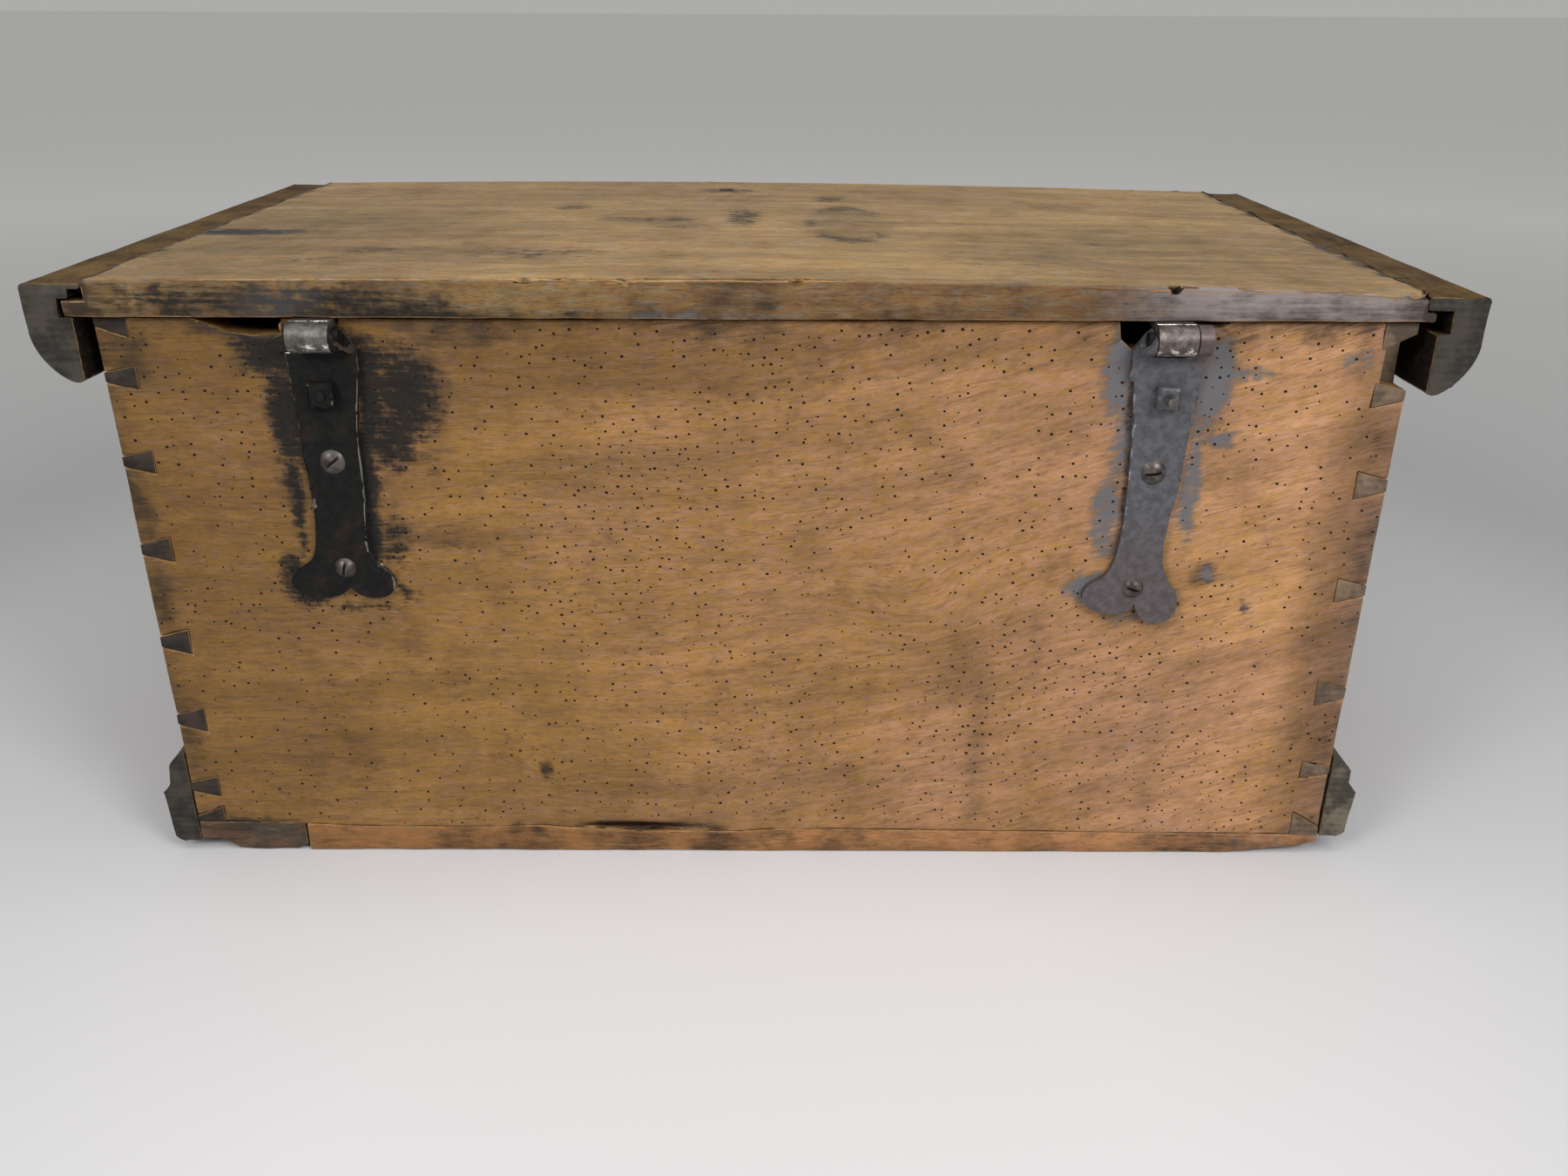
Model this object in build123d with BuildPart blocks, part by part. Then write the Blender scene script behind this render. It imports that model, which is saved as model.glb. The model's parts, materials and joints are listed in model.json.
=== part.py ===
from build123d import *
import math
import os

os.makedirs("parts", exist_ok=True)

# A walnut chest with a hinged lid, in millimetres. The origin is on the floor under the
# middle of the carcase, +Z is up, the front faces -Y and the hinges are on the back at +Y.
# Left and right are as seen from the front.

# Carcase boards
case_width = 583.0
case_depth = 328.0
case_height = 280.0
board_thickness = 14.5
bottom_thickness_left = 11.0
bottom_thickness_right = 17.5

# Dovetails: where each pin lies up the end board, at its wide end, as shares of that board
pin_shares_left = (
    (0.0, 0.052),
    (0.129, 0.167),
    (0.287, 0.340),
    (0.497, 0.544),
    (0.693, 0.743),
    (0.856, 0.899),
    (0.954, 1.0),
)
pin_shares_right = (
    (0.0, 0.033),
    (0.057, 0.103),
    (0.204, 0.255),
    (0.370, 0.421),
    (0.557, 0.604),
    (0.725, 0.768),
    (0.877, 0.918),
    (0.966, 1.0),
)
pin_narrow_share = 0.42
broken_tail_shares = (0.876, 1.0)
broken_tail_depth = 12.5

# Lid board with a tongue along each end
lid_gap = 0.7
lid_rear_overhang = 4.0
lid_front_overhang = 13.3
lid_side_overhang = 0.5
lid_thickness = 17.7
lid_thickness_left = 12.7
lid_thickness_right = 16.3
tongue_length = 10.4
tongue_thickness_left = 4.4
tongue_thickness_right = 7.6
tongue_break_length = 15.0
tongue_break_left = 4.2
lid_front_round = 4.0
lid_rear_round = 1.6

# Cleats that cap the lid's ends and hang down outside the carcase
cleat_width = 27.0
cleat_rise = 14.8
cleat_drop = 29.7
cleat_lip_inset = 6.0
cleat_toe_share = 0.37
cleat_toe_round = 1.2
cleat_edge_round = 2.4
cleat_sag_left = 3.4
groove_end_gap = 1.2
tongue_fit_left = 0.35
tongue_fit_right = 0.5
groove_slack_left = 4.85
cleat_bow_shares = (0.79, 0.36)
cleat_shoulder_share = 0.56
seam_chip_width = 6.0
seam_chip_height = 4.2
seam_chip_length = 9.0

# Base mouldings on the front and both ends
moulding_height = 53.4
moulding_projection = 14.9
moulding_lift = 5.2
moulding_gap_left = 0.9
moulding_wear_left = 5.4
moulding_round_shares = ((0.0, 1.0), (0.42, 0.93), (0.66, 0.82))
moulding_cove_shares = ((0.68, 0.72), (0.77, 0.62), (0.97, 0.57))
moulding_flat_shares = ((0.97, 0.57), (1.0, 0.50), (0.91, 0.08))
moulding_toe_shares = ((0.91, 0.08), (0.74, 0.02), (0.48, 0.0))

# Old repair let into the bottom board's rear edge, and the wear beside it
patch_nail_margin = 8.26
patch_depth = 32.0
patch_fit = 0.25
patch_worn_length = 19.0
patch_worn_height = 6.6
patch_toe_length = 6.0
patch_toe_height = 3.4
corner_wear_length = 50.0
corner_wear_share = 0.25
corner_wear_height = 6.8
corner_wear_depth = 24.0

# Strap hinges: a strap on the back, a leaf under the lid and a pin through both loops
iron_thickness = 3.2
pin_radius = 3.6
pin_clearance = 0.08
loop_gap = 0.45
strap_half_width = 15.4
strap_centre_left = 183.0
strap_centre_right = 193.0
strap_length_left = 138.5
strap_length_right = 126.5
knuckle_gap = 0.5
pin_recess = 5.0
ear_bevel_start = 5.2
ear_bevel_rear_slope = 0.2
ear_bevel_up_slope = 0.75
leaf_length = 118.0
leaf_half_width = 13.0
leaf_end_half_width = 19.0
leaf_neck_share = 0.12
leaf_flare_share = 0.70
leaf_round_share = 0.10
notch_side_gap = 0.9
notch_floor_gap = 0.5

# Ears and loops along the pins, from the strap's centre, as shares of its half width
ear_shares_left = ((-1.12, -0.617), (0.571, 0.968))
ear_shares_right = ((-1.078, -0.565),)
loop_shares_left = (-0.584, 0.539)
loop_shares_right = (-0.532, 0.675)

# Strap outlines below the pin, from the top round one side to the notch of the fishtail:
# across as shares of the strap's half width, and down as shares of its length
strap_inner_shares_left = (
    (-1.00, 0.06),
    (-0.98, 0.14),
    (-0.91, 0.25),
    (-0.84, 0.38),
    (-0.82, 0.50),
    (-0.83, 0.66),
    (-0.98, 0.77),
    (-1.20, 0.82),
    (-1.70, 0.86),
    (-1.82, 0.91),
    (-1.55, 0.945),
    (-1.10, 0.965),
    (-0.45, 0.960),
    (-0.19, 0.925),
)
strap_outer_shares_left = (
    (1.02, 0.06),
    (0.95, 0.13),
    (0.88, 0.25),
    (0.78, 0.42),
    (0.71, 0.53),
    (0.50, 0.70),
    (0.54, 0.775),
    (0.76, 0.835),
    (1.08, 0.89),
    (1.14, 0.93),
    (0.95, 0.985),
    (0.42, 1.0),
    (0.05, 0.975),
    (-0.19, 0.925),
)
strap_inner_shares_right = (
    (-1.08, 0.06),
    (-1.04, 0.13),
    (-0.92, 0.24),
    (-0.79, 0.385),
    (-0.76, 0.60),
    (-0.65, 0.77),
    (-0.76, 0.845),
    (-1.22, 0.90),
    (-1.36, 0.945),
    (-1.16, 0.985),
    (-0.66, 1.0),
    (-0.18, 0.985),
    (0.03, 0.955),
)
strap_outer_shares_right = (
    (1.00, 0.06),
    (0.97, 0.13),
    (0.94, 0.30),
    (0.88, 0.48),
    (0.86, 0.66),
    (0.92, 0.77),
    (1.17, 0.85),
    (1.66, 0.895),
    (1.85, 0.94),
    (1.56, 0.98),
    (0.89, 1.0),
    (0.32, 0.985),
    (0.03, 0.955),
)

# Bolts, nuts and screws of the hinges
bolt_radius = 2.35
bolt_clearance = 0.1
bolt_head_radius = 6.5
bolt_head_rise = 2.4
bolt_drop = 26.5
bolt_side_left = 0.5
bolt_side_right = 1.0
bolt_end_left = 7.0
bolt_end_right = 0.5
nut_size_left = 10.6
nut_size_right = 11.7
nut_thickness = 4.0
nut_chamfer = 0.6
screw_radius = 2.3
screw_length = 15.0
screw_head_radius_large = 5.8
screw_head_radius_small = 5.0
screw_head_rise = 2.6
screw_slot_width = 1.3
screw_slot_depth = 1.4
screw_side_shares_left = (-0.104, -0.299)
screw_side_shares_right = (0.058, 0.123)
screw_drop_shares_left = (0.448, 0.866)
screw_drop_shares_right = (0.4625, 0.8775)
screw_slot_turn_left = (-8.0, 14.0)
screw_slot_turn_right = (-38.0, -76.0)
leaf_screw_head_radius = 4.6
leaf_screw_head_rise = 1.9
leaf_screw_length = 14.0
leaf_screw_radius = 2.0
leaf_screw_shares = (0.36, 0.62, 0.90)

# Worn hollows in the back board's top edge beside the hinges, as shares of width and depth
hollow_width_left = 18.0
hollow_depth_left = 12.6
hollow_shares_left = ((0.0, 0.0), (0.06, 0.62), (0.34, 0.97), (0.67, 1.0), (0.92, 0.5), (1.0, 0.0))
hollow_offset_left = -23.0
hollow_width_right = 38.0
hollow_depth_right = 7.4
hollow_shares_right = ((0.0, 0.0), (0.02, 0.86), (0.33, 1.0), (0.68, 0.74), (0.88, 0.2), (1.0, 0.0))
hollow_offset_right = 16.3

# Nails and pegs
nail_radius = 1.5
nail_head_radius = 3.0
nail_head_rise = 1.2
nail_fit = 0.05
nail_recess = 1.5
bottom_nail_length = 38.0
moulding_nail_length = 24.0
moulding_nail_height = 24.0
moulding_seat_share = 0.86
peg_radius = 2.6
peg_side = 5.0
bottom_nail_shares_end = (-0.82, 0.0, 0.82)
bottom_nail_shares_front = (-0.88, -0.3, 0.3, 0.88)
moulding_nail_shares_end = (-0.68, 0.12, 0.90)
moulding_nail_shares_front = (-0.78, -0.22, 0.36, 0.80)
peg_shares = (-0.72, 0.0, 0.72)

# Lock on the inside of the front board, with its keyhole and the staple under the lid
lock_plate_width = 96.0
lock_plate_height = 64.0
lock_plate_thickness = 2.0
lock_top_drop = 11.0
lock_case_width = 72.0
lock_case_height = 54.0
lock_case_depth = 19.6
lock_case_wall = 1.6
staple_side_gap = 1.2
staple_slot_front_gap = 2.3
staple_slot_rear_gap = 1.3
staple_thickness = 4.0
staple_depth = 11.0
staple_length = 34.0
staple_front_inset = 5.5
staple_hole_depth = 6.0
staple_hole_height = 9.0
staple_hole_lift = 3.6
staple_plate_width = 58.0
staple_plate_depth = 24.5
staple_plate_thickness = 2.0
staple_plate_inset = 1.0
staple_nail_side = 22.6
staple_nail_inset = 17.0
staple_nail_length = 10.0
clench_length = 7.0
clench_rise = 0.9
clench_gap = 0.15
bolt_end_gap = 0.2
bolt_bar_height = 6.0
bolt_bar_width = 4.0
bolt_rest_gap = 2.2
bolt_slide_gap = 0.3
bolt_heel_length = 20.0
key_notch_width = 6.0
key_notch_depth = 2.4
guide_thickness = 1.6
guide_width = 4.0
guide_shares = (0.42, 0.74)
keyhole_radius = 2.75
keyhole_slot_width = 2.6
keyhole_slot_length = 8.0
keyhole_side = 14.0
keyhole_drop = 28.0
escutcheon_width = 30.0
escutcheon_height = 46.0
escutcheon_thickness = 1.4
escutcheon_waist_share = 0.62
escutcheon_dip_share = 0.86
escutcheon_head_radius = 2.4
escutcheon_head_rise = 1.0
escutcheon_pin_share = 0.78
lock_nail_inset = 6.0
lock_nail_length = 12.0

# One overrun serves every cut that has to pass through a face
overrun = 1.0

# Places worked out from the sizes above
half_width = case_width / 2
half_depth = case_depth / 2
inner_half_width = half_width - board_thickness
inner_half_depth = half_depth - board_thickness
lid_underside = case_height + lid_gap
lid_rear = half_depth + lid_rear_overhang
lid_depth = case_depth + lid_rear_overhang + lid_front_overhang
lid_half_width = half_width + lid_side_overhang
loop_radius = pin_radius + pin_clearance + iron_thickness
axis_y = half_depth + loop_radius + loop_gap
axis_z = lid_underside - loop_radius - loop_gap
strap_face = half_depth + iron_thickness
loop_left = [strap_centre_left + strap_half_width * share for share in loop_shares_left]
loop_right = [strap_centre_right + strap_half_width * share for share in loop_shares_right]
hollow_x_left = strap_centre_left + hollow_offset_left
hollow_x_right = strap_centre_right + hollow_offset_right
moulding_top = moulding_lift + moulding_height
lock_face = -inner_half_depth
lock_plate_face = lock_face + lock_plate_thickness
lock_top = case_height - lock_top_drop
staple_front = lock_face + staple_front_inset
staple_rear = staple_front + staple_depth
staple_bottom = lid_underside - staple_length
staple_hole_z = (
    staple_bottom + staple_hole_lift,
    staple_bottom + staple_hole_lift + staple_hole_height,
)
staple_hole_y = (
    (staple_front + staple_rear - staple_hole_depth) / 2,
    (staple_front + staple_rear + staple_hole_depth) / 2,
)
bolt_bar_z = (staple_hole_z[0] + staple_hole_z[1]) / 2
bolt_bar_y = (staple_front + staple_rear) / 2
keyhole_z = case_height - lock_top_drop - keyhole_drop
sides = (
    ("left", -1, bottom_thickness_left, pin_shares_left),
    ("right", 1, bottom_thickness_right, pin_shares_right),
)


def floor_height(x):
    """The bottom board's upper face, which slopes from one end of the carcase to the other."""
    along = (x + half_width) / case_width
    return bottom_thickness_left + (bottom_thickness_right - bottom_thickness_left) * along


def block(x, y, z, mode=Mode.ADD):
    """Adds or cuts a block between two places on each axis."""
    with Locations((sum(x) / 2, sum(y) / 2, sum(z) / 2)):
        Box(abs(x[1] - x[0]), abs(y[1] - y[0]), abs(z[1] - z[0]), mode=mode)


def shaft(foot, direction, radius, length, mode=Mode.ADD):
    """Adds or cuts a round bar that runs from its foot along a direction."""
    with BuildSketch(Plane(origin=foot, z_dir=direction)) as section:
        Circle(radius)
    extrude(section.sketch, amount=length, mode=mode)


def fastener(foot, direction, side, radius, length, head_radius, head_rise):
    """Adds a nail, screw or bolt: its head stands along the direction, its shank runs back."""
    axis = Vector(*direction)
    across = Vector(*side)
    ball_radius = (head_radius**2 + head_rise**2) / (2 * head_rise)
    with BuildSketch(Plane(origin=foot, x_dir=side, z_dir=across.cross(axis))) as section:
        with BuildLine():
            Polyline((0, -length), (radius, -length), (radius, 0), (head_radius, 0))
            RadiusArc((head_radius, 0), (0, head_rise), -ball_radius)
            Line((0, head_rise), (0, -length))
        make_face()
    revolve(section.sketch, axis=Axis(foot, direction))


def wall_profile(low_left, low_right):
    """Draws a long wall's face, whose lower edge follows the sloping bottom board."""
    with BuildLine() as outline:
        Polyline(
            (-half_width, low_left),
            (half_width, low_right),
            (half_width, case_height),
            (-half_width, case_height),
            close=True,
        )
    make_face(outline.edges())


def pin_outline(sign, low, height, shares):
    """Draws one dovetail pin's end grain: wide at the shoulder, narrow at the carcase's corner."""
    bottom = low + height * shares[0] - (overrun if shares[0] == 0 else 0)
    top = low + height * shares[1]
    rise = (top - bottom) * (1 - pin_narrow_share)
    lower_share = 0 if shares[0] == 0 else 0.5
    upper_share = 0 if shares[1] == 1 else 0.5
    total = lower_share + upper_share
    bottom_rise = rise * lower_share / total
    top_rise = rise * upper_share / total
    with BuildLine() as outline:
        Polyline(
            (sign * inner_half_width, bottom),
            (sign * half_width, bottom + bottom_rise),
            (sign * half_width, top - top_rise),
            (sign * inner_half_width, top),
            close=True,
        )
    make_face(outline.edges())


def dovetail_pins(sign, low, shares, mode=Mode.ADD):
    """Adds or cuts every pin of one end board, at the front and the back."""
    height = case_height - low
    for front in (-half_depth, inner_half_depth):
        for pair in shares:
            with BuildSketch(Plane.XZ.offset(-front)) as pin:
                pin_outline(sign, low, height, pair)
            extrude(pin.sketch, amount=-board_thickness, mode=mode)


def nail_hole(foot, direction, length, radius=nail_radius):
    """Cuts a snug round hole for a nail, its head or a thin screw."""
    shaft(foot, direction, radius + nail_fit, length, Mode.SUBTRACT)


def bottom_nail_hole(x, y):
    """Cuts one bottom nail's hole up through the bottom board, with a seat for its head."""
    foot = (x, y, -overrun)
    nail_hole(foot, (0, 0, 1), floor_height(x) + 2 * overrun)
    nail_hole(foot, (0, 0, 1), nail_recess + overrun, nail_head_radius)


def keyhole(face, depth):
    """Cuts a keyhole, a round eye over a slot, from a face towards the back."""
    with BuildSketch(Plane.XZ.offset(-face)) as hole:
        with Locations((keyhole_side, keyhole_z)):
            Circle(keyhole_radius)
        with Locations((keyhole_side, keyhole_z - keyhole_slot_length / 2)):
            Rectangle(keyhole_slot_width, keyhole_slot_length)
    extrude(hole.sketch, amount=-depth, mode=Mode.SUBTRACT)


def save(name, part):
    """Labels a finished piece and writes it under its own name."""
    part.label = name
    export_step(part, "parts/" + name + ".step")


# Places of the nails, pegs and screws
wall_middle_x = half_width - board_thickness / 2
wall_middle_y = half_depth - board_thickness / 2
bottom_nail_places = []
for sign in (-1, 1):
    for share in bottom_nail_shares_end:
        bottom_nail_places.append((sign * wall_middle_x, share * inner_half_depth))
    for share in bottom_nail_shares_front:
        bottom_nail_places.append((share * inner_half_width, sign * wall_middle_y))
moulding_nail_places = []
for share in moulding_nail_shares_end:
    moulding_nail_places.append(((1, 0, 0), (half_width, share * inner_half_depth)))
    left_foot = (-half_width - moulding_gap_left, share * inner_half_depth)
    moulding_nail_places.append(((-1, 0, 0), left_foot))
for share in moulding_nail_shares_front:
    moulding_nail_places.append(((0, -1, 0), (share * inner_half_width, -half_depth)))
lock_nail_places = []
for sign in (-1, 1):
    for low in (-lock_plate_height + lock_nail_inset, -lock_nail_inset):
        lock_nail_places.append((sign * (lock_plate_width / 2 - lock_nail_inset), lock_top + low))
screw_places = []
screw_heads = (screw_head_radius_large, screw_head_radius_small)
for sign, centre, length, across, down, turns in (
    (
        -1, strap_centre_left, strap_length_left,
        screw_side_shares_left, screw_drop_shares_left, screw_slot_turn_left,
    ),
    (
        1, strap_centre_right, strap_length_right,
        screw_side_shares_right, screw_drop_shares_right, screw_slot_turn_right,
    ),
):
    for side_share, drop_share, turn, head in zip(across, down, turns, screw_heads):
        x = sign * (centre + side_share * strap_half_width)
        screw_places.append((x, axis_z - drop_share * length, head, turn))
bolt_z = axis_z - bolt_drop
bolt_places = (
    ("left", -strap_centre_left - bolt_side_left, bolt_z, nut_size_left, bolt_end_left),
    ("right", strap_centre_right + bolt_side_right, bolt_z, nut_size_right, bolt_end_right),
)
escutcheon_pin_places = []
for sign in (-1, 1):
    rise = escutcheon_height / 2 * escutcheon_pin_share
    escutcheon_pin_places.append((keyhole_side, keyhole_z + sign * rise))


# Bottom board, which carries the walls and shows its edge at the back
patch_inner = bottom_nail_shares_front[-1] * inner_half_width - patch_nail_margin
with BuildPart() as bottom_board:
    with BuildSketch(Plane.XZ.offset(-half_depth)):
        with BuildLine():
            Polyline(
                (-half_width, 0),
                (half_width, 0),
                (half_width, bottom_thickness_right),
                (-half_width, bottom_thickness_left),
                close=True,
            )
        make_face()
    extrude(amount=case_depth)
    block(
        (patch_inner, half_width + overrun),
        (half_depth - patch_depth, half_depth + overrun),
        (-overrun, bottom_thickness_right + overrun),
        Mode.SUBTRACT,
    )
    with BuildSketch(Plane.XZ.offset(-half_depth)):
        with BuildLine():
            Polyline(
                (-half_width, 0),
                (-half_width, corner_wear_height),
                (-half_width + corner_wear_length * corner_wear_share, corner_wear_height / 2),
                (-half_width + corner_wear_length, 0),
                close=True,
            )
        make_face()
    extrude(amount=corner_wear_depth, mode=Mode.SUBTRACT)
    for x, y in bottom_nail_places:
        bottom_nail_hole(x, y)
save("bottom_board", bottom_board.part)

# Repair let into the rear edge, worn away at its outer end
with BuildPart() as bottom_edge_patch:
    with BuildSketch(Plane.XZ.offset(-half_depth)):
        with BuildLine():
            Polyline(
                (patch_inner + patch_fit, patch_toe_height),
                (patch_inner + patch_fit + patch_toe_length, 0),
                (half_width - patch_worn_length, 0),
                (half_width - patch_worn_length / 2, patch_worn_height),
                (half_width, patch_worn_height),
                (half_width, bottom_thickness_right),
                (patch_inner + patch_fit, floor_height(patch_inner + patch_fit)),
                close=True,
            )
        make_face()
    extrude(amount=patch_depth - patch_fit)
    for x, y in bottom_nail_places:
        bottom_nail_hole(x, y)
save("bottom_edge_patch", bottom_edge_patch.part)

# End boards, with the pins of the dovetails at both ends
for name, sign, low, shares in sides:
    with BuildPart() as end_board:
        with BuildSketch(Plane.XZ.offset(inner_half_depth)):
            with BuildLine():
                Polyline(
                    (sign * inner_half_width, floor_height(sign * inner_half_width)),
                    (sign * half_width, low),
                    (sign * half_width, case_height),
                    (sign * inner_half_width, case_height),
                    close=True,
                )
            make_face()
        extrude(amount=-2 * inner_half_depth)
        dovetail_pins(sign, low, shares)
        with BuildSketch(Plane.XZ.offset(-half_depth)):
            with BuildLine():
                Polyline(
                    (-half_width, 0),
                    (half_width, 0),
                    (half_width, bottom_thickness_right),
                    (-half_width, bottom_thickness_left),
                    close=True,
                )
            make_face()
        extrude(amount=case_depth, mode=Mode.SUBTRACT)
        for x, y in bottom_nail_places:
            if x * sign > inner_half_width:
                nail_hole((x, y, 0), (0, 0, 1), bottom_nail_length + overrun)
        for direction, (x, y) in moulding_nail_places:
            if x * sign > inner_half_width and direction[0] == sign:
                nail_hole(
                    (sign * (half_width + overrun), y, moulding_nail_height),
                    (-sign, 0, 0),
                    moulding_nail_length - moulding_projection + overrun,
                )
    save("end_board_" + name, end_board.part)

# Back board, with tails between the pins, notches for the hinge leaves and worn hollows
with BuildPart() as back_board:
    with BuildSketch(Plane.XZ.offset(-half_depth)):
        wall_profile(bottom_thickness_left, bottom_thickness_right)
    extrude(amount=board_thickness)
    for name, sign, low, shares in sides:
        dovetail_pins(sign, low, shares, Mode.SUBTRACT)
    left_height = case_height - bottom_thickness_left
    block(
        (-half_width - overrun, broken_tail_depth - half_width),
        (inner_half_depth - overrun, half_depth + overrun),
        (
            bottom_thickness_left + left_height * broken_tail_shares[0],
            bottom_thickness_left + left_height * broken_tail_shares[1],
        ),
        Mode.SUBTRACT,
    )
    for sign, loop in ((-1, loop_left), (1, loop_right)):
        block(
            (sign * (loop[0] - notch_side_gap), sign * (loop[1] + notch_side_gap)),
            (inner_half_depth - overrun, half_depth + overrun),
            (lid_underside - iron_thickness - notch_floor_gap, case_height + overrun),
            Mode.SUBTRACT,
        )
    for sign, start, width, depth, shares in (
        (-1, hollow_x_left, hollow_width_left, hollow_depth_left, hollow_shares_left),
        (1, hollow_x_right, hollow_width_right, hollow_depth_right, hollow_shares_right),
    ):
        points = [
            (sign * (start + width * along), case_height - depth * down) for along, down in shares
        ]
        with BuildSketch(Plane.XZ.offset(-half_depth)):
            with BuildLine():
                Polyline(*points, close=True)
            make_face()
        extrude(amount=board_thickness, mode=Mode.SUBTRACT)
    for name, x, z, nut_size, end in bolt_places:
        shaft(
            (x, half_depth + overrun, z),
            (0, -1, 0),
            bolt_radius + bolt_clearance,
            board_thickness + 2 * overrun,
            Mode.SUBTRACT,
        )
    for x, z, head, turn in screw_places:
        nail_hole(
            (x, half_depth + overrun, z),
            (0, -1, 0),
            screw_length - iron_thickness + overrun,
            screw_radius,
        )
    for x, y in bottom_nail_places:
        if y > inner_half_depth:
            nail_hole((x, y, 0), (0, 0, 1), bottom_nail_length + overrun)
save("back_board", back_board.part)

# Front board, dovetailed like the back, with the keyhole and the holes of the lock's nails
with BuildPart() as front_board:
    with BuildSketch(Plane.XZ.offset(inner_half_depth)):
        wall_profile(bottom_thickness_left, bottom_thickness_right)
    extrude(amount=board_thickness)
    for name, sign, low, shares in sides:
        dovetail_pins(sign, low, shares, Mode.SUBTRACT)
    keyhole(-half_depth - overrun, board_thickness + 2 * overrun)
    for x, z in lock_nail_places:
        nail_hole(
            (x, lock_face + overrun, z),
            (0, -1, 0),
            lock_nail_length - lock_plate_thickness + overrun,
        )
    for x, z in escutcheon_pin_places:
        nail_hole(
            (x, -half_depth - overrun, z),
            (0, 1, 0),
            lock_nail_length - escutcheon_thickness + overrun,
        )
    for x, y in bottom_nail_places:
        if y < -inner_half_depth:
            nail_hole((x, y, 0), (0, 0, 1), bottom_nail_length + overrun)
    for direction, (x, y) in moulding_nail_places:
        if direction[1] != 0:
            nail_hole(
                (x, -half_depth - overrun, moulding_nail_height),
                (0, 1, 0),
                moulding_nail_length - moulding_projection + overrun,
            )
save("front_board", front_board.part)


def moulding_profile(wear):
    """Draws a base moulding's section: a round over a cove over a tall flat, with a worn toe."""
    base = moulding_lift + wear
    rise = moulding_top - base
    curves = []
    for shares in (
        moulding_round_shares,
        moulding_cove_shares,
        moulding_flat_shares,
        moulding_toe_shares,
    ):
        curves.append([(moulding_projection * out, base + rise * up) for out, up in shares])
    crown, cove, flat, toe = curves
    with BuildLine() as outline:
        ThreePointArc(*crown)
        Line(crown[-1], cove[0])
        ThreePointArc(*cove)
        Polyline(*flat)
        ThreePointArc(*toe)
        Polyline(toe[-1], (0, base), crown[0])
    make_face(outline.edges())


def moulding_nail_holes(outward):
    """Cuts the nails' holes through a moulding, with a seat for each head."""
    seat = moulding_projection * moulding_seat_share
    for direction, (x, y) in moulding_nail_places:
        if direction == outward:
            start = (x, y, moulding_nail_height)
            deep = Vector(*start) - Vector(*outward) * overrun
            nail_hole(deep, outward, moulding_projection + 2 * overrun)
            head = Vector(*start) + Vector(*outward) * seat
            nail_hole(head, outward, moulding_projection, nail_head_radius)


# Base mouldings, mitred at the front corners and cut flush with the back
front_start = -half_depth - moulding_projection - overrun
for name, sign, wear, gap in (
    ("left", -1, moulding_wear_left, moulding_gap_left),
    ("right", 1, 0, 0),
):
    with BuildPart() as base_moulding:
        start = front_start if sign < 0 else half_depth
        plane = Plane(
            origin=(sign * (half_width + gap), start, 0), x_dir=(sign, 0, 0), z_dir=(0, -sign, 0)
        )
        with BuildSketch(plane):
            moulding_profile(wear)
        extrude(amount=half_depth - front_start)
        mitre = Plane(origin=(sign * half_width, -half_depth, 0), z_dir=(sign, 1, 0))
        split(bisect_by=mitre, keep=Keep.TOP)
        moulding_nail_holes((sign, 0, 0))
    save("base_moulding_" + name, base_moulding.part)

with BuildPart() as base_moulding_front:
    side_start = half_width + moulding_projection + overrun
    with BuildSketch(Plane(origin=(side_start, -half_depth, 0), x_dir=(0, -1, 0), z_dir=(-1, 0, 0))):
        moulding_profile(0)
    extrude(amount=2 * side_start)
    for sign in (-1, 1):
        mitre = Plane(origin=(sign * half_width, -half_depth, 0), z_dir=(sign, 1, 0))
        split(bisect_by=mitre, keep=Keep.BOTTOM)
    moulding_nail_holes((0, -1, 0))
save("base_moulding_front", base_moulding_front.part)

# Nails of the mouldings and of the bottom board
with BuildPart() as moulding_nails:
    for direction, (x, y) in moulding_nail_places:
        seat = moulding_projection * moulding_seat_share
        foot = Vector(x, y, moulding_nail_height) + Vector(*direction) * seat
        fastener(
            foot,
            direction,
            (0, 0, 1),
            nail_radius,
            moulding_nail_length - moulding_projection + seat,
            nail_head_radius,
            nail_head_rise,
        )
save("moulding_nails", moulding_nails.part)

with BuildPart() as bottom_nails:
    for x, y in bottom_nail_places:
        fastener(
            (x, y, nail_recess),
            (0, 0, -1),
            (1, 0, 0),
            nail_radius,
            bottom_nail_length - nail_recess,
            nail_head_radius,
            nail_head_rise,
        )
save("bottom_nails", bottom_nails.part)

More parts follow.
